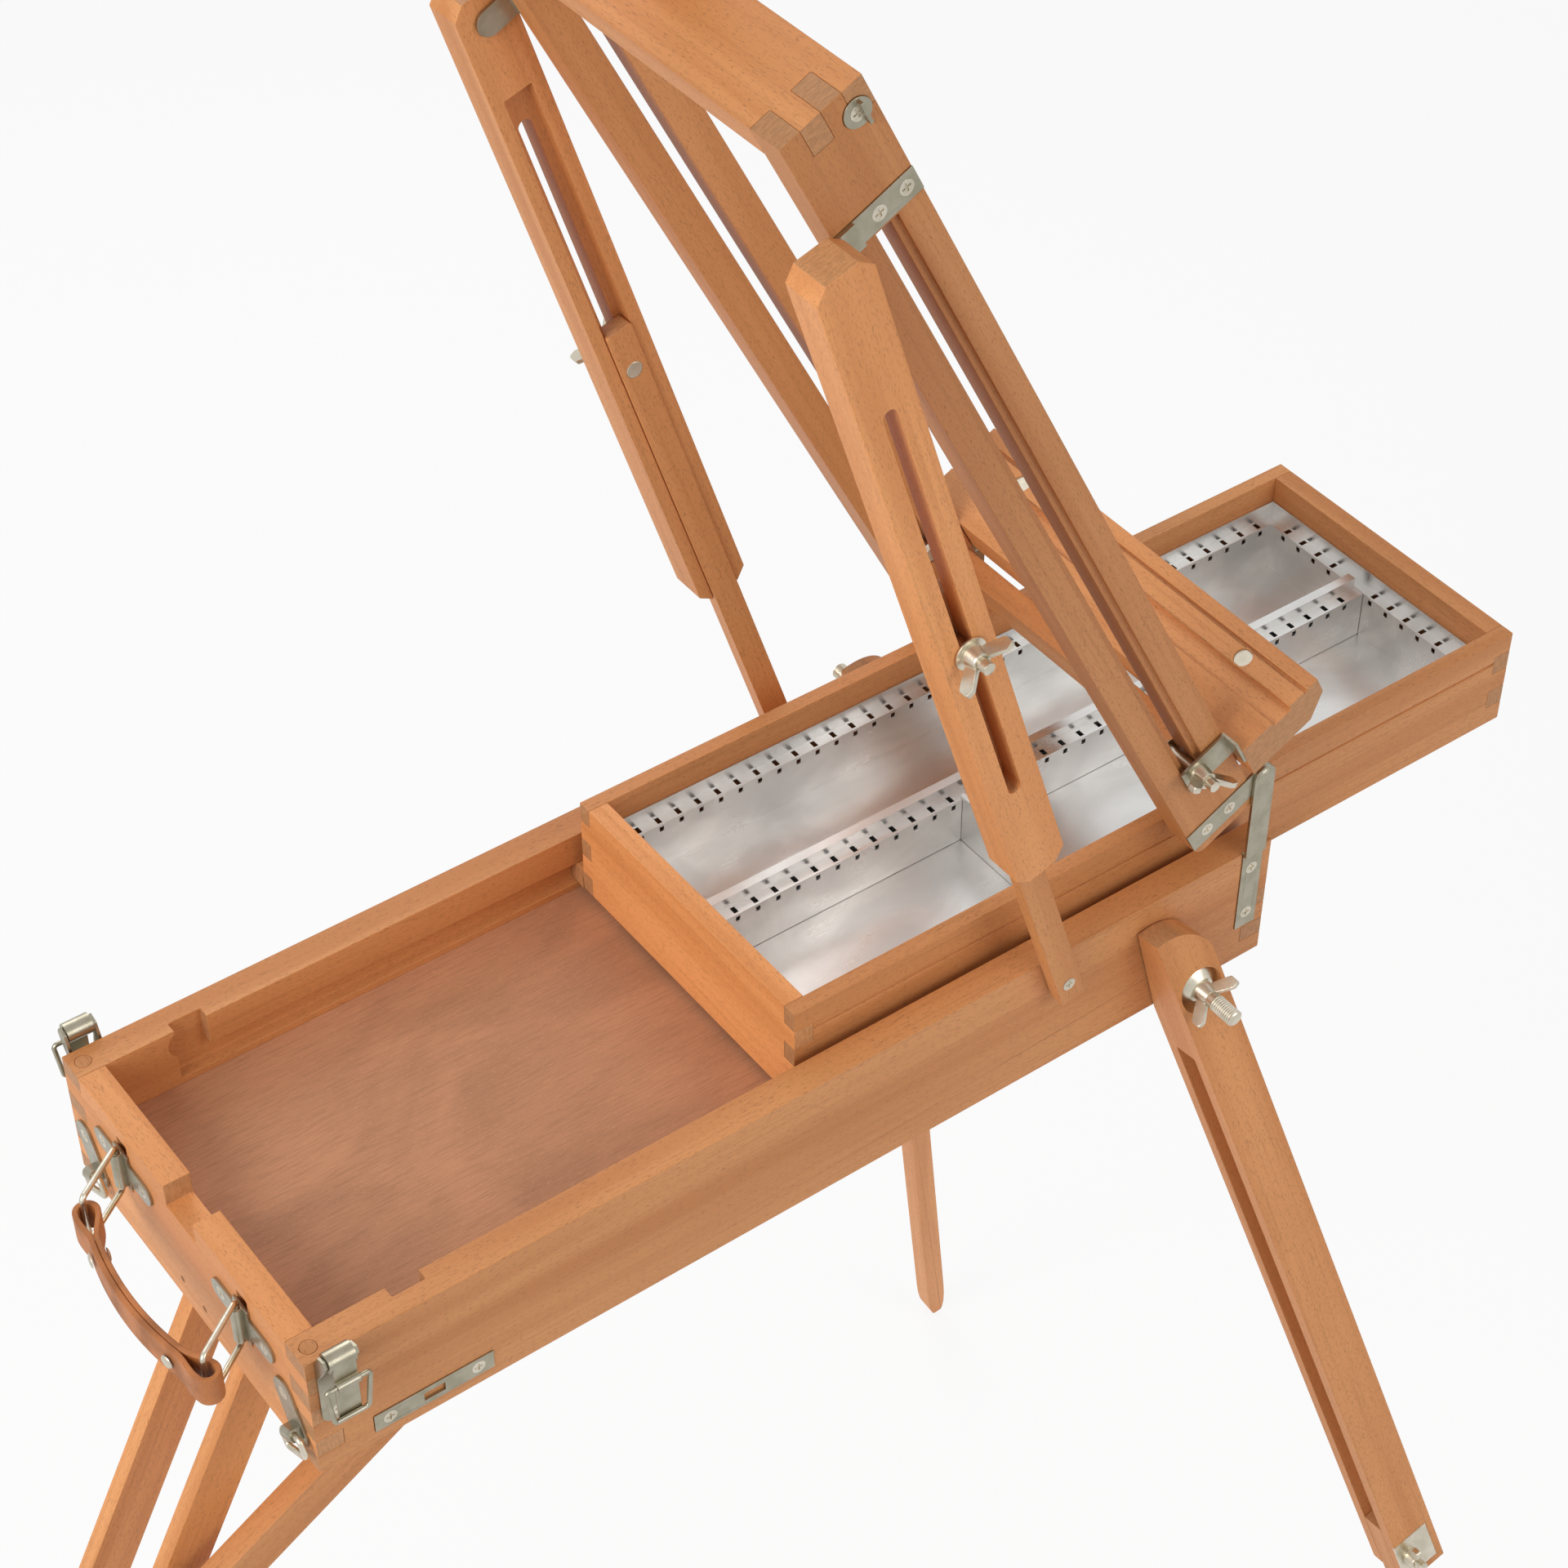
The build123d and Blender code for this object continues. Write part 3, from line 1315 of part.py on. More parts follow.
def handle_plates():
    """Plates with an upright sleeve for each bail."""
    shapes = []
    half = sleeve_height / 2
    low = handle_plate_z - half
    high = handle_plate_z + half
    for y in handle_plate_centres():
        body = end_plate(handle_plate_length, handle_plate_height, y, handle_plate_z, 0)
        body += block(-plate, 0, y - sleeve_width / 2, y + sleeve_width / 2, low, high)
        body += rod((-sleeve_outer, y, low), (-sleeve_outer, y, high), sleeve_outer)
        body -= rod((-sleeve_outer, y, low), (-sleeve_outer, y, high), wire_radius + running)
        shapes.append(body - [screw_hole(point, (-1, 0, 0)) for point in end_screw_points()])
    return shapes


def bail_ends(y):
    """Where a bail's inner and outer bars stand, seen from above."""
    swing = math.radians(bail_swing)
    x = -sleeve_outer
    return (x, y), (x - bail_reach * math.cos(swing), y - bail_reach * math.sin(swing))


def bail(y):
    """Wire ring that turns upright in a plate's sleeve and carries the handle's end loop."""
    half = bail_height / 2
    low = handle_plate_z - half
    high = handle_plate_z + half
    inner, outer = bail_ends(y)
    return wire_ring([(*inner, high), (*outer, high), (*outer, low), (*inner, low)], wire_radius)


def handle_grip():
    """Leather strap bowed outwards between the bails, with a loop at each end."""
    slack = handle_loop_inner - wire_radius - running * 5
    loops = []
    for y in handle_plate_centres():
        _, outer = bail_ends(y)
        loops.append((outer[0], outer[1] - slack))
    (x, near), (_, far) = loops
    arc = ThreePointArc((x, near), (x - handle_sag, (near + far) / 2), (x, far))
    band = extrude(make_face(offset(arc, amount=handle_thickness / 2, side=Side.BOTH)), amount=handle_width)
    for y in (near, far):
        band += Pos(x, y, 0) * Cylinder(handle_loop_outer, handle_width, align=LOW)
    for y in (near, far):
        band -= Pos(x, y, 0) * Cylinder(handle_loop_inner, handle_width, align=LOW)
    return Pos(0, 0, handle_plate_z - handle_width / 2) * band


def ring_plate(y):
    """Plate with a sleeve across its lower end for the strap ring."""
    body = end_plate(ring_plate_length, ring_plate_width, 0, 0, 90)
    out = wire_radius + running + plate
    z = -ring_plate_length / 4
    x = -plate - out
    half = ring_plate_width * 0.3
    body += rod((x, -half, z), (x, half, z), out) + block(x, -plate, -half, half, z - out, z + out)
    body -= rod((x, -ring_plate_width, z), (x, ring_plate_width, z), wire_radius + running)
    body = turned(body, (0, 0, 0), (1, 0, 0), -ring_plate_tilt)
    body = Pos(0, y, ring_plate_z) * body
    return body - [screw_hole(point, (-1, 0, 0)) for point in end_screw_points()]


def strap_ring(y):
    """D-shaped wire ring hanging from the ring plate's sleeve."""
    z = -ring_plate_length / 4
    x = -plate - wire_radius - running - plate
    half = ring_plate_width / 2 + wire_radius
    low = z - ring_radius
    ring = wire_ring([(x, half, z), (x, half, low), (x, -half, low), (x, -half, z)], wire_radius)
    return Pos(0, y, ring_plate_z) * turned(ring, (0, 0, 0), (1, 0, 0), -ring_plate_tilt)


def handle_parts():
    """Carrying handle, bails, plates and strap rings on the handle end."""
    centres = handle_plate_centres()
    rings = ring_plate_centres()
    return {
        "handle_plates": group(handle_plates()),
        "bail_near": bail(centres[0]),
        "bail_far": bail(centres[1]),
        "handle_grip": handle_grip(),
        "ring_plates": group([ring_plate(y) for y in rings]),
        "strap_ring_near": strap_ring(rings[0]),
        "strap_ring_far": strap_ring(rings[1]),
    }


def latch_base():
    """Plate of a toggle latch with two ears and the pivot pin."""
    half = latch_width / 2
    x0 = latch_x - half
    x1 = latch_x + half
    y = -latch_pivot_out
    body = block(x0, x1, -plate, 0, latch_base_low, latch_base_high)
    body = fillet(body.edges().filter_by(Axis.Y).group_by(Axis.Z)[0], latch_base_round)
    eye = latch_drum - plate
    ear = [
        (0, latch_base_high - latch_drum * 2), (y - eye / 2, latch_pivot_z - eye), (y - eye, latch_pivot_z),
        (y - eye / 2, latch_pivot_z + eye), (y + eye, latch_pivot_z + eye / 2), (0, latch_base_high),
    ]
    for low in (x0, x1 - plate):
        body += prism(ear, low, low + plate, "YZ")
    pin = rod((x0, y, latch_pivot_z), (x1, y, latch_pivot_z), latch_pin_radius)
    screws = [screw_hole(point, (0, -1, 0)) for point in near_box_screw_points()[4:]]
    return body + pin - screws


def latch_wire_line():
    """Distance out and height of the axis on which the latch's wire turns."""
    return -latch_pivot_out - latch_drum - latch_wire_radius, latch_pivot_z - latch_wire_drop


def latch_lever():
    """Lever with a drum round the pin and a small sleeve for the wire."""
    half = latch_width / 2 - plate - running * 5
    x0 = latch_x - half
    x1 = latch_x + half
    y = -latch_pivot_out
    drum = tube((x0, y, latch_pivot_z), (x1, y, latch_pivot_z), latch_drum, latch_pin_radius + running)
    face = y - latch_drum
    low = latch_pivot_z - latch_lever_length
    blade = block(x0 + 1.0, x1 - 1.0, face, face + latch_lever_plate, low, latch_pivot_z)
    wire_y, wire_z = latch_wire_line()
    out = latch_wire_radius + running + 1.0
    sleeve = rod((x0 + 1.0, wire_y, wire_z), (x1 - 1.0, wire_y, wire_z), out)
    lever = drum + blade + sleeve
    lever -= rod((x0, y, latch_pivot_z), (x1, y, latch_pivot_z), latch_pin_radius + running)
    return lever - rod((x0, wire_y, wire_z), (x1, wire_y, wire_z), latch_wire_radius + running)


def latch_wire():
    """Closed wire link turning in the lever's sleeve."""
    y, z = latch_wire_line()
    low = z - latch_wire_length
    points = []
    for half, level in ((latch_wire_top / 2, z), (latch_width / 2, low)):
        points += [(latch_x + half, y, level), (latch_x - half, y, level)]
    return wire_ring([points[0], points[2], points[3], points[1]], latch_wire_radius)


def latch_parts():
    """Toggle latches on both sides near the handle end."""
    lever = latch_lever()
    wire = latch_wire()
    return {
        "latch_plates": group(both_sides(latch_base()) + both_sides(side_plate())),
        "latch_near": group([lever, wire]),
        "latch_far": group([mirrored(lever), mirrored(wire)]),
    }


def all_parts():
    """Every named piece in the box's own directions."""
    parts = {}
    for make in (box_parts, box_hardware, drawer_parts, lid_parts, ledge_parts, mast_parts, stay_parts,
                 leg_parts, rear_parts, handle_parts, latch_parts):
        parts.update(make())
    return parts


def to_ground(parts):
    """The move that puts the origin on the ground under the middle of the easel."""
    boxes = [shape.bounding_box() for shape in parts.values()]
    x = (min(b.min.X for b in boxes) + max(b.max.X for b in boxes)) / 2
    y = (min(b.min.Y for b in boxes) + max(b.max.Y for b in boxes)) / 2
    return -x, -y, -min(b.min.Z for b in boxes)


def main():
    """Build every piece, move it to the ground and write it."""
    parts = all_parts()
    move = to_ground(parts)
    os.makedirs("parts", exist_ok=True)
    for name, shape in parts.items():
        export_step(Pos(*move) * shape, "parts/" + name + ".step")
    print("nodes", len(parts), "moved by", [round(value, 3) for value in move])
    return parts, move


if __name__ == "__main__":
    main()
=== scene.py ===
"""Looks of a half box french easel: wood, steel, sheet lining, leather and stage."""

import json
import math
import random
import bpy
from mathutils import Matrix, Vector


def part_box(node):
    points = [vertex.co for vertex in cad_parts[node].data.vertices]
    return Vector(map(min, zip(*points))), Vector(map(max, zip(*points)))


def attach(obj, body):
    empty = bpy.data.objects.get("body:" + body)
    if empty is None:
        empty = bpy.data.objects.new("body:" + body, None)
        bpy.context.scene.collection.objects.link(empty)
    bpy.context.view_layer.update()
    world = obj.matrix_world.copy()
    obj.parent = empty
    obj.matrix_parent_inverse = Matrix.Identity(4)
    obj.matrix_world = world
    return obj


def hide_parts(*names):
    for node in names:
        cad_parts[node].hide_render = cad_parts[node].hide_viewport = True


bl_info = {
    "name": "French easel looks",
    "version": (1, 0, 0),
    "blender": (4, 5, 0),
    "location": "View3D > Sidebar > Easel",
    "description": "Wood, metal, leather and small parts of a half box french easel",
    "category": "Object",
}

import bpy
import numpy as np
from bpy.props import FloatProperty, FloatVectorProperty, PointerProperty
from mathutils import Matrix, Vector

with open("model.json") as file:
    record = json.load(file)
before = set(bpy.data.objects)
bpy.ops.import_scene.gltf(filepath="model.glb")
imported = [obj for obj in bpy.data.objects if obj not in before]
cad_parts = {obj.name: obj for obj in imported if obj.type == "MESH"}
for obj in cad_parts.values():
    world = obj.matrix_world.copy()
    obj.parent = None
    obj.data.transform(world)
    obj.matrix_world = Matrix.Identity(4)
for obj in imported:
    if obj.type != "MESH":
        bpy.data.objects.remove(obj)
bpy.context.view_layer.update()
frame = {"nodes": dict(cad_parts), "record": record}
NODES = frame["nodes"]
RECORD = frame["record"]
BODY_OF = {
    node: body
    for body, members in RECORD["behaviour"]["bodies"].items()
    for node in members
}
SLOT_OF = {part["node"]: part["material_slot"] for part in RECORD["subparts"]}
MM = 0.001

# The box's corner at the handle end, near side and bottom
BOX_CORNER = Vector((
    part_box("box_handle_end")[0].x,
    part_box("box_near_side")[0].y,
    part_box("box_near_side")[0].z,
))


def at(x, y, z):
    """A point given in millimetres from the box's corner, in the row frame."""
    return BOX_CORNER + Vector((x, y, z)) * MM


# Shader nodes written as expressions

class Signal:
    """A shader socket that takes part in Python expressions."""

    def __init__(self, finish, socket):
        self.finish = finish
        self.socket = socket

    def math(self, operation, first, second):
        return self.finish.node("ShaderNodeMath", {"operation": operation}, {0: first, 1: second})

    def __add__(self, other):
        return self.math("ADD", self, other)

    def __sub__(self, other):
        return self.math("SUBTRACT", self, other)

    def __rsub__(self, other):
        return self.math("SUBTRACT", other, self)

    def __mul__(self, other):
        return self.math("MULTIPLY", self, other)

    __radd__ = __add__
    __rmul__ = __mul__

    def between(self, low, high):
        """0 below low, 1 above high and a smooth step between."""
        return self.finish.node(
            "ShaderNodeMapRange",
            {"interpolation_type": "SMOOTHSTEP"},
            {"Value": self, "From Min": low, "From Max": high},
        )


class Finish:
    """The shader nodes of one material, or of the room."""

    def __init__(self, name, owner=None):
        self.owner = owner or bpy.data.materials.new(name)
        self.owner.use_nodes = True
        self.tree = self.owner.node_tree
        self.surface = self.tree.nodes.get("Principled BSDF")

    def feed(self, socket, value):
        if isinstance(value, Signal):
            self.tree.links.new(value.socket, socket)
        else:
            socket.default_value = value

    def node(self, kind, settings=None, values=None, output=0):
        node = self.tree.nodes.new(kind)
        for name, value in (settings or {}).items():
            setattr(node, name, value)
        for name, value in (values or {}).items():
            self.feed(node.inputs[name], value)
        return Signal(self, node.outputs[output])

    def place(self):
        return self.node("ShaderNodeTexCoord", output="Object")

    def turned(self, vector, matrix):
        return self.node(
            "ShaderNodeMapping", {"vector_type": "POINT"},
            {"Vector": vector, "Rotation": matrix.to_euler("XYZ")})

    def vector(self, operation, first, second, output=0):
        return self.node("ShaderNodeVectorMath", {"operation": operation}, {0: first, 1: second}, output)

    def noise(self, vector, scale=1.0, detail=2.0, distortion=0.0):
        return self.node("ShaderNodeTexNoise", None, {
            "Vector": vector, "Scale": scale, "Detail": detail, "Distortion": distortion})

    def streaks(self, vector, density, detail=2.0, distortion=0.0):
        """Noise stretched by its own number of changes per metre in each direction."""
        stretched = self.vector("MULTIPLY", vector, density)
        return self.noise(stretched, detail=detail, distortion=distortion)

    def mix(self, share, first, second):
        return self.node("ShaderNodeMix", {"data_type": "RGBA"}, {0: share, 6: first, 7: second}, 2)

    def bump(self, height, strength, distance):
        return self.node(
            "ShaderNodeBump", None, {"Height": height, "Strength": strength, "Distance": distance})

    def ray(self, kind):
        return self.node("ShaderNodeLightPath", output="Is " + kind + " Ray")

    def set(self, **values):
        for name, value in values.items():
            self.feed(self.surface.inputs[name.replace("_", " ")], value)
        return self.owner


def shade(colour, factor, blue=1.0):
    """A colour made lighter or darker, with four channels."""
    return (
        min(1.0, colour[0] * factor),
        min(1.0, colour[1] * factor),
        min(1.0, colour[2] * factor * blue),
        1.0,
    )


# Grain direction of a wooden node

def grain_axes(node):
    """Rotation that turns a node's longest direction to X and its thinnest to Z."""
    mesh = NODES[node].data
    points = np.array([v.co for v in mesh.vertices], float)
    faces = np.array([p.vertices[:] for p in mesh.polygons])
    corners = points[faces]
    first_edges = corners[:, 1] - corners[:, 0]
    second_edges = corners[:, 2] - corners[:, 0]
    areas = np.linalg.norm(np.cross(first_edges, second_edges), axis=1)
    centres = corners.mean(axis=1)
    middle = (centres * areas[:, None]).sum(0) / areas.sum()
    spread = (centres - middle) * np.sqrt(areas)[:, None]
    _, vectors = np.linalg.eigh(spread.T @ spread)
    long = Vector(vectors[:, 2])
    thin = Vector(vectors[:, 0])
    side = thin.cross(long)
    return Matrix((long, side, thin))


# Patterns of the finishes, as changes per metre; in wood, along the board, across it and through it
WOOD_BANDS = (1.6, 46.0, 46.0)
WOOD_LINES = (9.0, 520.0, 520.0)
WOOD_FLECKS = (330.0, 2300.0, 2300.0)
WOOD_CLOUDS = (7.0, 18.0, 18.0)
END_RINGS = (40.0, 260.0, 900.0)
END_PORES = (2500.0, 2500.0, 2500.0)
PLY_CLOUDS = (9.0, 14.0, 14.0)
PLY_HAIRS = (70.0, 1300.0, 1300.0)
PLY_SPECKS = (420.0, 2600.0, 2600.0)
SHEET_ROLLING = (14.0, 900.0, 300.0)
SHEET_MARKS = (16.0, 22.0, 22.0)
SHEET_DENTS = (11.0, 15.0, 12.0)
STEEL_MOTTLE = 130.0
STEEL_PITS = 1400.0
LEATHER_CELLS = 900.0
LEATHER_WEAR = 60.0

# Each board's own tone, and how far its figure is moved, in metres
TONE_SPREAD = (0.94, 1.05)
FIGURE_SHIFT = 3.0


def end_grain(finish, along, axes, settings, tone_and_painted_light):
    """Mask of the faces cut across the grain, and their colour."""
    flat = finish.node("ShaderNodeNewGeometry", output="True Normal")
    local = finish.node(
        "ShaderNodeVectorTransform",
        {"vector_type": "NORMAL", "convert_from": "WORLD", "convert_to": "OBJECT"}, {"Vector": flat})
    facing = finish.vector("DOT_PRODUCT", finish.turned(local, axes), (1.0, 0.0, 0.0), "Value")
    rings = finish.streaks(along, END_RINGS, detail=3.0)
    pores = finish.streaks(along, END_PORES, detail=0.0)
    # The end grain takes the tone passed in, which is partly painted light.
    colour = finish.mix(
        rings.between(0.35, 0.65), shade(settings.wood_end, tone_and_painted_light), shade(settings.wood_end, tone_and_painted_light * 0.8))
    colour = finish.mix(pores.between(0.55, 0.7) * 0.4, colour, shade(settings.wood_fleck, tone_and_painted_light))
    return (facing * facing).between(0.62, 0.85), colour


def beech(node, settings, tone_and_painted_light=1.0):
    """Steamed beech with fine dark flecks along the grain and darker end grain."""
    finish = Finish("beech_" + node)
    axes = grain_axes(node)
    draw = random.Random(node)
    # The tone passed in is partly the board's own tone and partly painted light; a random tone of the
    # board's own is added to it.
    tone_and_painted_light *= draw.uniform(*TONE_SPREAD)
    shift = Vector([draw.uniform(-FIGURE_SHIFT, FIGURE_SHIFT) for _ in range(3)])
    along = finish.vector("ADD", finish.turned(finish.place(), axes), shift)
    bands = finish.streaks(along, WOOD_BANDS, detail=4.0, distortion=0.6)
    lines = finish.streaks(along, WOOD_LINES)
    flecks = finish.streaks(along, WOOD_FLECKS, detail=1.0)
    clouds = finish.streaks(along, WOOD_CLOUDS)
    dark = settings.wood_dark
    base = finish.mix(bands.between(0.35, 0.68), shade(settings.wood_light, tone_and_painted_light), shade(dark, tone_and_painted_light))
    base = finish.mix(clouds.between(0.4, 0.75) * 0.35, base, shade(dark, tone_and_painted_light * 0.92))
    base = finish.mix(lines.between(0.5, 0.75) * 0.35, base, shade(dark, tone_and_painted_light * 0.82))
    base = finish.mix(flecks.between(0.58, 0.68) * 0.5, base, shade(settings.wood_fleck, tone_and_painted_light))
    end, end_colour = end_grain(finish, along, axes, settings, tone_and_painted_light)
    return finish.set(
        Base_Color=finish.mix(end, base, end_colour),
        Roughness=0.46 + bands * 0.12,
        Specular_IOR_Level=0.42,
        Normal=finish.bump(lines * 0.4 - flecks, 0.25, 0.00015),
    )


def plywood(settings):
    """Reddish plywood with long hair lines and soft clouds."""
    finish = Finish("box_floor_plywood")
    place = finish.place()
    clouds = finish.streaks(place, PLY_CLOUDS, detail=3.0, distortion=1.2)
    hairs = finish.streaks(place, PLY_HAIRS, detail=3.0, distortion=0.4)
    specks = finish.streaks(place, PLY_SPECKS, detail=1.0)
    red = settings.plywood_colour
    base = finish.mix(clouds.between(0.3, 0.72), shade(red, 1.1), shade(red, 0.86))
    base = finish.mix(hairs.between(0.42, 0.72) * 0.45, base, shade(red, 0.62))
    base = finish.mix(specks.between(0.6, 0.72) * 0.35, base, shade(red, 1.5))
    return finish.set(
        Base_Color=base,
        Roughness=0.55 + hairs * 0.15,
        Specular_IOR_Level=0.35,
        Normal=finish.bump(hairs, 0.3, 0.0002),
    )


def nail_filler(settings):
    """Dark filler over the heads of sunk nails."""
    finish = Finish("nail_filler")
    return finish.set(Base_Color=shade(settings.wood_fleck, 1.15), Roughness=0.6, Specular_IOR_Level=0.3)


def sheet_metal(settings):
    """Bright soft sheet with faint rolling lines, scratches and finger marks."""
    finish = Finish("sheet_lining")
    place = finish.place()
    rolling = finish.streaks(place, SHEET_ROLLING)
    marks = finish.streaks(place, SHEET_MARKS, detail=4.0, distortion=1.5)
    dents = finish.streaks(place, SHEET_DENTS, detail=1.0, distortion=0.5)
    pale = settings.sheet_colour
    return finish.set(
        Base_Color=finish.mix(marks.between(0.3, 0.7), shade(pale, 1.0), shade(pale, 0.86)),
        Metallic=1.0,
        Roughness=0.2 + marks * 0.14 + rolling * 0.06,
        Normal=finish.bump(dents + rolling * 0.01, 0.35, 0.004),
    )


def plated_steel(name, colour):
    """Plated steel with mottled gloss and fine pits."""
    finish = Finish(name)
    place = finish.place()
    mottle = finish.noise(place, STEEL_MOTTLE, 3.0)
    pits = finish.noise(place, STEEL_PITS, 1.0)
    return finish.set(
        Base_Color=finish.mix(mottle.between(0.3, 0.75), shade(colour, 1.05), shade(colour, 0.84, 0.95)),
        Metallic=1.0,
        Roughness=0.22 + mottle * 0.18,
        Normal=finish.bump(pits + mottle * 2.0, 0.25, 0.0002),
    )


def leather(settings):
    """Tan leather with a fine grain and darker worn patches."""
    finish = Finish("strap_leather")
    place = finish.place()
    cells = finish.node(
        "ShaderNodeTexVoronoi", {"feature": "DISTANCE_TO_EDGE"}, {"Vector": place, "Scale": LEATHER_CELLS})
    wear = finish.noise(place, LEATHER_WEAR, 3.0)
    tan = settings.leather_colour
    base = finish.mix(wear.between(0.35, 0.7), shade(tan, 1.12), shade(tan, 0.7))
    base = finish.mix(cells.between(0.12, 0.02) * 0.35, base, shade(tan, 0.5))
    return finish.set(
        Base_Color=base,
        Roughness=0.42 + wear * 0.2,
        Specular_IOR_Level=0.4,
        Normal=finish.bump(cells, 0.4, 0.0003),
    )


# Mesh helpers

# Boards and sheets with long slots, whose faces stay in triangles
KEPT_TRIANGLES = {"stay_near", "stay_far", "drawer_near_side", "drawer_far_side", "canvas_ledge"}
MERGE_DISTANCE = 0.000002
FLAT_WITHIN = math.radians(0.5)
SHARP_FROM = math.radians(40.0)
EDGE_SEGMENTS = 2


def select_only(piece):
    """Make one object the selected and active one."""
    bpy.ops.object.select_all(action="DESELECT")
    piece.select_set(True)
    bpy.context.view_layer.objects.active = piece


def finish_piece(piece, material, body, smooth=35.0):
    """Give a finished mesh its material, shading and body, with its place in the mesh."""
    select_only(piece)
    bpy.ops.object.transform_apply(location=True, rotation=True, scale=True)
    piece.data.materials.clear()
    piece.data.materials.append(material)
    bpy.ops.object.shade_smooth_by_angle(angle=math.radians(smooth))
    weighted = piece.modifiers.new("flat_faces", "WEIGHTED_NORMAL")
    weighted.keep_sharp = True
    bpy.ops.object.modifier_apply(modifier="flat_faces")
    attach(piece, body)
    return piece


def softened(node, width, material):
    """A copy of a CAD node with its edges broken, which stands for the node."""
    triangles = node in KEPT_TRIANGLES or SLOT_OF[node] != "beech"
    mesh = NODES[node].data.copy()
    piece = bpy.data.objects.new(node + "_soft", mesh)
    bpy.context.scene.collection.objects.link(piece)
    select_only(piece)
    bpy.ops.mesh.customdata_custom_splitnormals_clear()
    bpy.ops.object.mode_set(mode="EDIT")
    bpy.ops.mesh.select_all(action="SELECT")
    bpy.ops.mesh.remove_doubles(threshold=MERGE_DISTANCE)
    if not triangles:
        bpy.ops.mesh.dissolve_limited(angle_limit=FLAT_WITHIN)
    bpy.ops.object.mode_set(mode="OBJECT")
    bevel = piece.modifiers.new("edges", "BEVEL")
    bevel.width = width
    bevel.segments = EDGE_SEGMENTS
    bevel.limit_method = "ANGLE"
    bevel.angle_limit = SHARP_FROM
    bevel.use_clamp_overlap = False
    bevel.miter_outer = "MITER_ARC"
    bpy.ops.object.modifier_apply(modifier="edges")
    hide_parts(node)
    return finish_piece(piece, material, BODY_OF[node])


# Sizes and colours that a user would change

def colour_property(name, description, default):
    """A colour setting with three channels."""
    return FloatVectorProperty(
        name=name, description=description, subtype="COLOR", size=3, min=0.0, max=1.0, default=default)


def size_property(name, description, default):
    """A length setting in metres."""
    return FloatProperty(
        name=name, description=description, subtype="DISTANCE", unit="LENGTH", default=default)


def power_property(name, description, default):
    """A lamp's power in watts."""
    return FloatProperty(
        name=name, description=description, subtype="POWER", unit="POWER", default=default)


class EaselLooks(bpy.types.PropertyGroup):
    """Colours, broken edges and strap of the easel."""

    wood_light: colour_property("Light wood", "Early wood of the beech", (0.675, 0.293, 0.105))
    wood_dark: colour_property("Dark wood", "Late wood of the beech", (0.555, 0.215, 0.066))
    wood_fleck: colour_property("Flecks", "Short dark flecks along the grain", (0.29, 0.11, 0.035))
    wood_end: colour_property("End grain", "Cut ends of the boards", (0.52, 0.25, 0.105))
    plywood_colour: colour_property("Plywood", "Floor panel of the box", (0.50, 0.235, 0.122))
    sheet_colour: colour_property("Sheet lining", "Lining and dividers of the drawer", (0.81, 0.80, 0.78))
    steel_colour: colour_property("Plated steel", "Plates, straps and latches", (0.42, 0.385, 0.30))
    nickel_colour: colour_property("Nickel", "Wing nuts, bolts, screws and wire", (0.70, 0.64, 0.53))
    leather_colour: colour_property("Leather", "Carrying strap", (0.46, 0.16, 0.045))
    wood_edge: size_property("Wood edge", "Width of the broken edges of the boards", 0.0005)
    metal_edge: size_property("Metal edge", "Width of the broken edges of plates and nuts", 0.00018)
    strap_width: size_property("Strap width", "Height of the leather band", 0.017)
    strap_layer: size_property("Strap layer", "Thickness of one layer of the leather", 0.0027)
    rivet_radius: size_property("Rivet radius", "Radius of the strap's rivet heads", 0.0036)


class EaselStage(bpy.types.PropertyGroup):
    """Camera and light."""

    lens: FloatProperty(
        name="Lens", description="Focal length of the camera in millimetres",
        subtype="DISTANCE_CAMERA", unit="CAMERA", default=79.06)
    world_light: FloatProperty(
        name="Room light", description="Strength of the even light from all sides",
        subtype="FACTOR", min=0.0, max=1.0, default=0.5)
    room_shine: FloatProperty(
        name="Room shine", description="Share of the white room that metal reflects",
        subtype="FACTOR", min=0.0, max=1.0, default=0.7)
    key_power: power_property("Key lamp", "Power of the large lamp beyond the handle end", 50.0)
    fill_power: power_property("Fill lamp", "Power of the lamp on the drawer side", 16.0)
    back_power: power_property("Back lamp", "Power of the lamp behind the easel", 16.0)


# Boards that are lighter or darker than the rest: partly their own tone and partly painted light. The
# drawer's inner end, shaded deep in the box, and the far front foot are painted lighter in place of light
# that the lamps do not bring them.
BOARD_TONES_AND_PAINTED_LIGHT = {
    "box_dowels": 0.8,
    "box_far_side": 0.95,
    "box_handle_end": 1.12,
    "drawer_inner_end": 1.3,
    "drawer_near_side": 0.95,
    "front_foot_far": 1.2,
    "lid_far_rail": 0.96,
    "lid_near_rail": 0.94,
    "mast": 1.04,
    "rear_foot": 1.12,
    "rear_leg": 1.13,
    "stay_near": 1.14,
}

# Filled nail holes low on the handle end board, as distance across and height in millimetres
NAIL_HOLES = ((120.1, 14.3), (99.9, 12.9))
NAIL_RADIUS = 1.9
NAIL_DEPTH = 3.0
NAIL_PROUD = 0.06


def nail_hole(number, across, height, material):
    """A small plug of filler in the outer face of the handle end board."""
    bpy.ops.object.select_all(action="DESELECT")
    bpy.ops.mesh.primitive_cylinder_add(
        vertices=20, radius=NAIL_RADIUS * MM, depth=NAIL_DEPTH * MM,
        location=at(NAIL_DEPTH / 2 - NAIL_PROUD, across, height),
        rotation=(0.0, math.radians(90.0), 0.0))
    plug = bpy.context.object
    plug.name = "nail_hole_%d" % number
    return finish_piece(plug, material, "box")


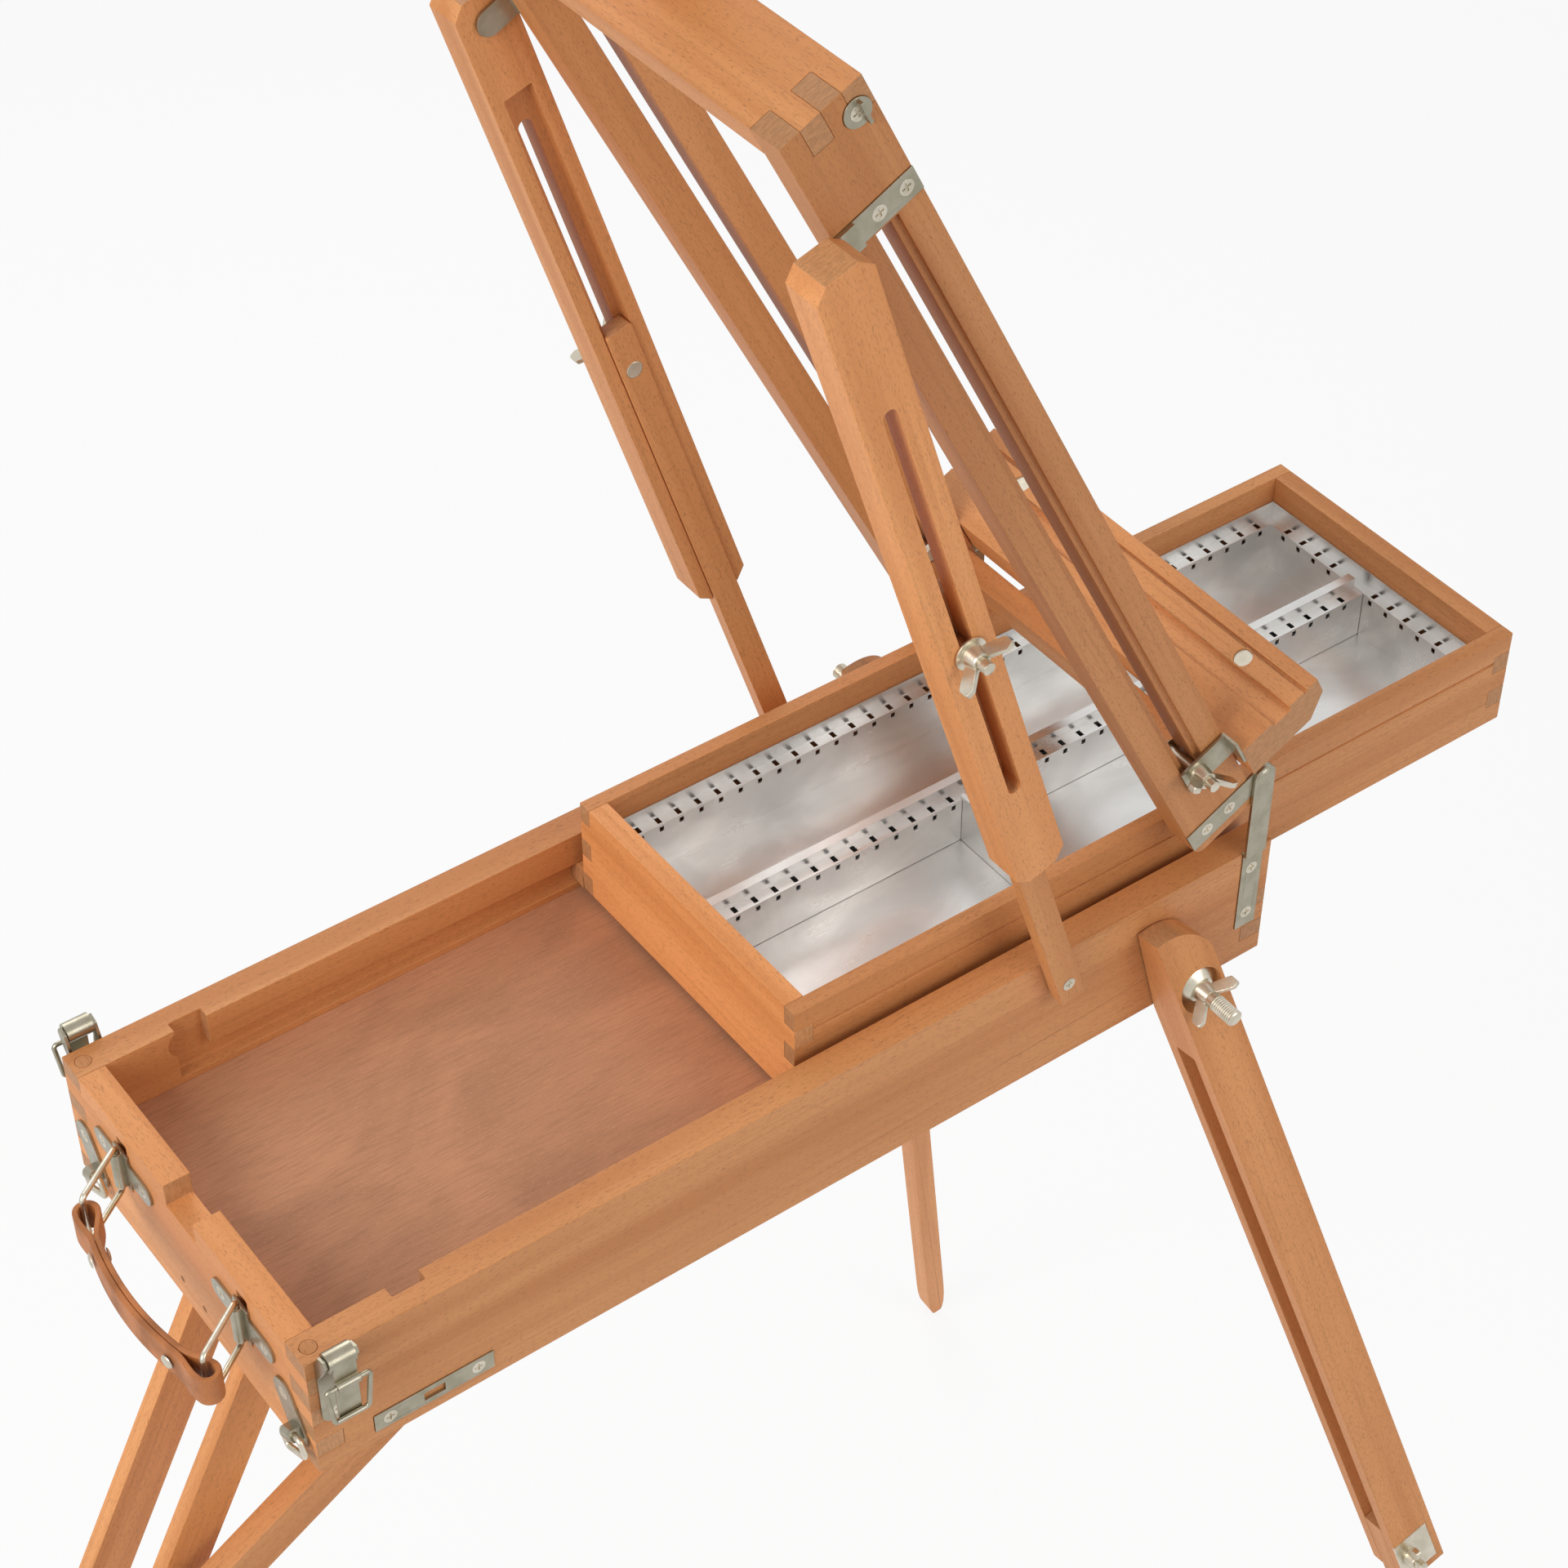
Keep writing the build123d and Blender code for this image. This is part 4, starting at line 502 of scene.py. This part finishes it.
class EASEL_OT_wood(bpy.types.Operator):
    """Give every wooden board broken edges and its own grain"""

    bl_idname = "easel.wood"
    bl_label = "Wooden boards"

    def execute(self, context):
        looks = context.scene.easel_looks
        for node in sorted(NODES):
            if SLOT_OF[node] == "beech":
                # Each board's tone from the table, which is partly painted light.
                softened(node, looks.wood_edge, beech(node, looks, BOARD_TONES_AND_PAINTED_LIGHT.get(node, 1.0)))
            elif SLOT_OF[node] == "plywood":
                softened(node, looks.wood_edge / 2, plywood(looks))
        filler = nail_filler(looks)
        for number, (across, height) in enumerate(NAIL_HOLES):
            nail_hole(number, across, height, filler)
        return {"FINISHED"}


# Nodes with the brighter nickel finish
BRIGHT_NODES = {
    "box_screws", "lid_screws", "leg_bolts", "stay_clamp_near", "stay_clamp_far", "mast_clamp",
    "foot_clamp_near", "foot_clamp_far", "ledge_hardware", "bail_near", "bail_far",
    "strap_ring_near", "strap_ring_far", "rear_leg_hardware", "stay_pin_near", "stay_pin_far",
}

# Threads on the front leg bolts, in millimetres; they start and end outside the box's face
BOX_WIDTH = 221.0
LEG_BOLT_X = 487.0
LEG_BOLT_Z = 27.8
THREAD_START = 36.0
THREAD_END = 50.4
THREAD_PITCH = 1.25
THREAD_RADIUS = 4.0
THREAD_ROOT = 4.05
THREAD_CREST = 4.45
THREAD_TIP = 3.6


def thread_radius(level, rings):
    """Radius of one of the rings that a threaded end is cut into."""
    if level == 0:
        return THREAD_RADIUS
    if level == rings:
        return THREAD_TIP
    return THREAD_CREST if level % 2 else THREAD_ROOT


def threads(side, material):
    """Thread ridges round the end of one front leg bolt; side is -1 near and 1 far."""
    edge = 0.0 if side < 0 else BOX_WIDTH
    length = THREAD_END - THREAD_START
    rings = 2 * int(length / THREAD_PITCH)
    bpy.ops.object.select_all(action="DESELECT")
    bpy.ops.mesh.primitive_cylinder_add(
        vertices=24, radius=THREAD_RADIUS * MM, depth=length * MM,
        end_fill_type="NGON", location=(0.0, 0.0, 0.0))
    rod = bpy.context.object
    rod.name = "leg_bolt_thread_" + ("near" if side < 0 else "far")
    bpy.ops.object.mode_set(mode="EDIT")
    for cut in range(1, rings):
        bpy.ops.mesh.select_all(action="SELECT")
        height = length * (cut / rings - 0.5) * MM
        bpy.ops.mesh.bisect(plane_co=(0.0, 0.0, height), plane_no=(0.0, 0.0, 1.0))
    bpy.ops.object.mode_set(mode="OBJECT")
    for vertex in rod.data.vertices:
        level = round((vertex.co.z / MM + length / 2) / (length / rings))
        grow = thread_radius(level, rings) / THREAD_RADIUS
        vertex.co.x *= grow
        vertex.co.y *= grow
    rod.rotation_euler = (math.radians(-90.0 * side), 0.0, 0.0)
    reach = (THREAD_START + THREAD_END) / 2
    rod.location = at(LEG_BOLT_X, edge + side * reach, LEG_BOLT_Z)
    return finish_piece(rod, material, "box", 20.0)


class EASEL_OT_metal(bpy.types.Operator):
    """Finish the steel plates, screws, bolts and wing nuts"""

    bl_idname = "easel.metal"
    bl_label = "Steel fittings"

    def execute(self, context):
        looks = context.scene.easel_looks
        steel = plated_steel("plated_steel", looks.steel_colour)
        nickel = plated_steel("nickel", looks.nickel_colour)
        for node in sorted(NODES):
            if SLOT_OF[node] == "steel":
                softened(node, looks.metal_edge, nickel if node in BRIGHT_NODES else steel)
        for side in (-1.0, 1.0):
            threads(side, nickel)
        return {"FINISHED"}


class EASEL_OT_lining(bpy.types.Operator):
    """Finish the sheet lining and the dividers of the drawer"""

    bl_idname = "easel.lining"
    bl_label = "Sheet lining"

    def execute(self, context):
        sheet = sheet_metal(context.scene.easel_looks)
        for node in sorted(NODES):
            if SLOT_OF[node] == "sheet_lining":
                NODES[node].data.materials.clear()
                NODES[node].data.materials.append(sheet)
        return {"FINISHED"}


# Leather strap, wrapped round both bails and riveted to itself, in millimetres
STRAP_LOOP = 6.5
STRAP_BOW = 9.0
STRAP_OPENING = 17.0
STRAP_CLEARANCE = 0.05
STRAP_ROUNDING = 0.7
STRAP_STEPS = 48
STRAP_TURNS = 14
ROUNDING_STEPS = 3
RIVET_FROM_LOOP = 21.0
RIVET_PROUD = 1.1
RIVET_CLEARANCE = 0.02


def strap_line():
    """Loop centres, middle height and a function that gives the strap's middle line and its normal."""
    low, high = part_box("handle_grip")
    x = high.x - STRAP_LOOP * MM
    near = low.y + STRAP_LOOP * MM
    far = high.y - STRAP_LOOP * MM
    bow = STRAP_BOW * MM

    def line(share):
        swing = 2.0 * share - 1.0
        point = Vector((x - bow * (1.0 - swing * swing), near + share * (far - near), 0.0))
        along = Vector((bow * 4.0 * swing, far - near, 0.0)).normalized()
        return point, Vector((-along.y, along.x, 0.0))

    return near, far, (low.z + high.z) / 2, line


def strap_path(layer):
    """Closed middle line of the leather: outer layer, far loop, inner layer, near loop."""
    near, far, _, line = strap_line()
    close = layer / 2 + STRAP_CLEARANCE * MM
    wide = STRAP_LOOP * MM - layer / 2

    def spread(share):
        gap = min(share, 1.0 - share) * (far - near) / MM
        open_share = max(0.0, 1.0 - gap / STRAP_OPENING)
        return close + (wide - close) * open_share * open_share * (3.0 - 2.0 * open_share)

    points = []
    shares = [step / STRAP_STEPS for step in range(STRAP_STEPS + 1)]
    for run, side in ((shares, 1.0), (shares[::-1], -1.0)):
        for share in run:
            point, normal = line(share)
            points.append(point + normal * side * spread(share))
        for turn in range(1, STRAP_TURNS):
            angle = -math.pi * turn / STRAP_TURNS
            points.append(point + Matrix.Rotation(angle, 3, "Z") @ (normal * side) * wide)
    return points


def closed_line(name, points, dimensions):
    """A closed curve of straight runs through points."""
    curve = bpy.data.curves.new(name, "CURVE")
    curve.dimensions = dimensions
    spline = curve.splines.new("POLY")
    spline.points.add(len(points) - 1)
    for target, (x, y, z) in zip(spline.points, points):
        target.co = (x, y, z, 1.0)
    spline.use_cyclic_u = True
    piece = bpy.data.objects.new(name, curve)
    bpy.context.scene.collection.objects.link(piece)
    return piece


def strap_profile(width, layer):
    """Outline of the leather band, with rounded corners."""
    round_edge = STRAP_ROUNDING * MM
    x = layer / 2 - round_edge
    y = width / 2 - round_edge
    outline = []
    for middle_x, middle_y, start in ((x, y, 0), (-x, y, 90), (-x, -y, 180), (x, -y, 270)):
        for step in range(ROUNDING_STEPS + 1):
            angle = math.radians(start + 90.0 * step / ROUNDING_STEPS)
            outline.append((
                middle_x + round_edge * math.cos(angle), middle_y + round_edge * math.sin(angle), 0.0))
    return outline


def leather_strap(settings, material):
    """Leather band swept round its closed path, with rounded edges."""
    _, _, height, _ = strap_line()
    path = [(point.x, point.y, height) for point in strap_path(settings.strap_layer)]
    outline = strap_profile(settings.strap_width, settings.strap_layer)
    strap = closed_line("leather_strap", path, "3D")
    profile = closed_line("strap_profile", outline, "2D")
    strap.data.twist_mode = "Z_UP"
    strap.data.bevel_mode = "OBJECT"
    strap.data.bevel_object = profile
    select_only(strap)
    bpy.ops.object.convert(target="MESH")
    bpy.data.objects.remove(profile)
    bpy.ops.object.mode_set(mode="EDIT")
    bpy.ops.mesh.select_all(action="SELECT")
    bpy.ops.mesh.remove_doubles(threshold=5 * MERGE_DISTANCE)
    bpy.ops.mesh.normals_make_consistent(inside=False)
    bpy.ops.object.mode_set(mode="OBJECT")
    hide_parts("handle_grip")
    return finish_piece(strap, material, "handle_grip", 50.0)


def rivet(number, share, settings, material):
    """Domed rivet through both layers of the strap, headed on each side."""
    _, _, height, line = strap_line()
    point, normal = line(share)
    radius = settings.rivet_radius
    heads = []
    for side in (1.0, -1.0):
        bpy.ops.object.select_all(action="DESELECT")
        bpy.ops.mesh.primitive_uv_sphere_add(segments=24, ring_count=12, radius=radius)
        head = bpy.context.object
        bpy.ops.object.mode_set(mode="EDIT")
        bpy.ops.mesh.select_all(action="SELECT")
        bpy.ops.mesh.bisect(
            plane_co=(0.0, 0.0, 0.0), plane_no=(0.0, 0.0, 1.0), clear_inner=True, use_fill=True)
        bpy.ops.mesh.select_all(action="SELECT")
        bpy.ops.transform.resize(value=(1.0, 1.0, RIVET_PROUD * MM / radius))
        bpy.ops.object.mode_set(mode="OBJECT")
        outward = normal * side
        head.rotation_euler = outward.to_track_quat("Z", "Y").to_euler()
        head.location = Vector((point.x, point.y, height))
        head.location += outward * (settings.strap_layer + RIVET_CLEARANCE * MM)
        heads.append(head)
    bpy.ops.object.select_all(action="DESELECT")
    for head in heads:
        head.select_set(True)
    bpy.context.view_layer.objects.active = heads[0]
    bpy.ops.object.join()
    heads[0].name = "strap_rivet_%d" % number
    return finish_piece(heads[0], material, "handle_grip", 50.0)


class EASEL_OT_handle(bpy.types.Operator):
    """Make the leather strap and its rivets"""

    bl_idname = "easel.handle"
    bl_label = "Leather strap"

    def execute(self, context):
        looks = context.scene.easel_looks
        leather_strap(looks, leather(looks))
        near, far, _, _ = strap_line()
        inset = RIVET_FROM_LOOP * MM / (far - near)
        steel = plated_steel("rivet_steel", looks.nickel_colour)
        for number, share in enumerate((inset, 1.0 - inset)):
            rivet(number, share, looks, steel)
        return {"FINISHED"}


# Places of the camera and of what it and the lamps look at
CAMERA_PLACE = at(-369.2, -850.4, 1246.9)
CAMERA_AIM = at(275.0, 31.35, 238.2)
LAMP_AIM = at(275.0, 110.0, 100.0)

# Lamps: place from what they look at and side of the square, in metres
KEY_PLACE = Vector((-2.45, -0.5, 1.5))
FILL_PLACE = Vector((0.9, -2.2, 1.2))
BACK_PLACE = Vector((0.6, 2.2, 1.5))
KEY_SIZE = 1.6
FILL_SIZE = 1.4
BACK_SIZE = 1.6

# White paper floor: its side in metres, its colour, and how far camera and mirrors see it glow
FLOOR_SIZE = 14.0
PAPER_WHITE = (0.86, 0.86, 0.86, 1.0)
PURE_WHITE = (1.0, 1.0, 1.0, 1.0)
PAPER_SEEN = 0.86
PAPER_SHINE = 0.4
SENSOR_WIDTH = 36.0


def aimed(piece, target):
    """Turn a camera or lamp so that it looks at a point."""
    piece.rotation_euler = (target - piece.location).to_track_quat("-Z", "Y").to_euler()
    return piece


def lamp(name, place, size, power):
    """A large soft lamp that looks at the box."""
    light = bpy.data.lights.new(name, "AREA")
    light.shape = "SQUARE"
    light.size = size
    light.energy = power
    piece = bpy.data.objects.new(name, light)
    piece.location = LAMP_AIM + place
    bpy.context.scene.collection.objects.link(piece)
    return aimed(piece, LAMP_AIM)


def paper_floor():
    """White paper under the easel, which keeps its shadow."""
    bpy.ops.object.select_all(action="DESELECT")
    bpy.ops.mesh.primitive_plane_add(size=FLOOR_SIZE, location=(0.0, 0.0, 0.0))
    floor = bpy.context.object
    floor.name = "floor"
    paper = Finish("white_paper")
    mirrored = paper.ray("Glossy") + paper.ray("Transmission")
    seen = paper.ray("Camera") * PAPER_SEEN + mirrored * PAPER_SHINE
    matte = paper.node("ShaderNodeBsdfDiffuse", None, {"Color": PAPER_WHITE})
    glow = paper.node("ShaderNodeEmission", None, {"Color": PURE_WHITE, "Strength": 1.0})
    shown = paper.node("ShaderNodeMixShader", None, {0: seen, 1: matte, 2: glow})
    paper.feed(paper.tree.nodes["Material Output"].inputs["Surface"], shown)
    floor.data.materials.append(paper.owner)


def white_room(settings):
    """Even light from all sides, white where the camera sees it."""
    world = bpy.data.worlds.new("room")
    room = Finish("room", world)
    mirrored = room.ray("Glossy") + room.ray("Transmission")
    seen = room.ray("Camera") + mirrored * settings.room_shine
    strength = room.node("ShaderNodeMix", None, {0: seen, 2: settings.world_light, 3: 1.0})
    sky = room.tree.nodes["Background"]
    sky.inputs["Color"].default_value = PURE_WHITE
    room.feed(sky.inputs["Strength"], strength)
    bpy.context.scene.world = world


class EASEL_OT_stage(bpy.types.Operator):
    """Add the floor, the soft light and the camera"""

    bl_idname = "easel.stage"
    bl_label = "Floor, light and camera"

    def execute(self, context):
        stage = context.scene.easel_stage
        paper_floor()
        white_room(stage)
        lamp("key_lamp", KEY_PLACE, KEY_SIZE, stage.key_power)
        lamp("fill_lamp", FILL_PLACE, FILL_SIZE, stage.fill_power)
        lamp("back_lamp", BACK_PLACE, BACK_SIZE, stage.back_power)

        view = bpy.data.cameras.new("camera")
        view.lens = stage.lens
        view.sensor_width = SENSOR_WIDTH
        camera = bpy.data.objects.new("camera", view)
        camera.location = CAMERA_PLACE
        context.scene.collection.objects.link(camera)
        aimed(camera, CAMERA_AIM)
        bpy.context.scene.camera = camera
        context.scene.view_settings.view_transform = "Standard"
        return {"FINISHED"}


PIECES = (EASEL_OT_wood, EASEL_OT_metal, EASEL_OT_lining, EASEL_OT_handle, EASEL_OT_stage)


class EASEL_PT_panel(bpy.types.Panel):
    """Buttons and settings of the easel"""

    bl_idname = "EASEL_PT_panel"
    bl_label = "French easel"
    bl_space_type = "VIEW_3D"
    bl_region_type = "UI"
    bl_category = "Easel"

    def draw(self, context):
        for group in (context.scene.easel_looks, context.scene.easel_stage):
            for name in group.__annotations__:
                self.layout.prop(group, name)
        for operator in PIECES:
            self.layout.operator(operator.bl_idname)


CLASSES = (EaselLooks, EaselStage) + PIECES + (EASEL_PT_panel,)


def register():
    for entry in CLASSES:
        bpy.utils.register_class(entry)
    bpy.types.Scene.easel_looks = PointerProperty(type=EaselLooks)
    bpy.types.Scene.easel_stage = PointerProperty(type=EaselStage)


def unregister():
    del bpy.types.Scene.easel_stage
    del bpy.types.Scene.easel_looks
    for entry in reversed(CLASSES):
        bpy.utils.unregister_class(entry)


def main():
    """Make every piece in order."""
    register()
    bpy.ops.easel.wood()
    bpy.ops.easel.metal()
    bpy.ops.easel.lining()
    bpy.ops.easel.handle()
    bpy.ops.easel.stage()


if __name__ == "__main__":
    main()
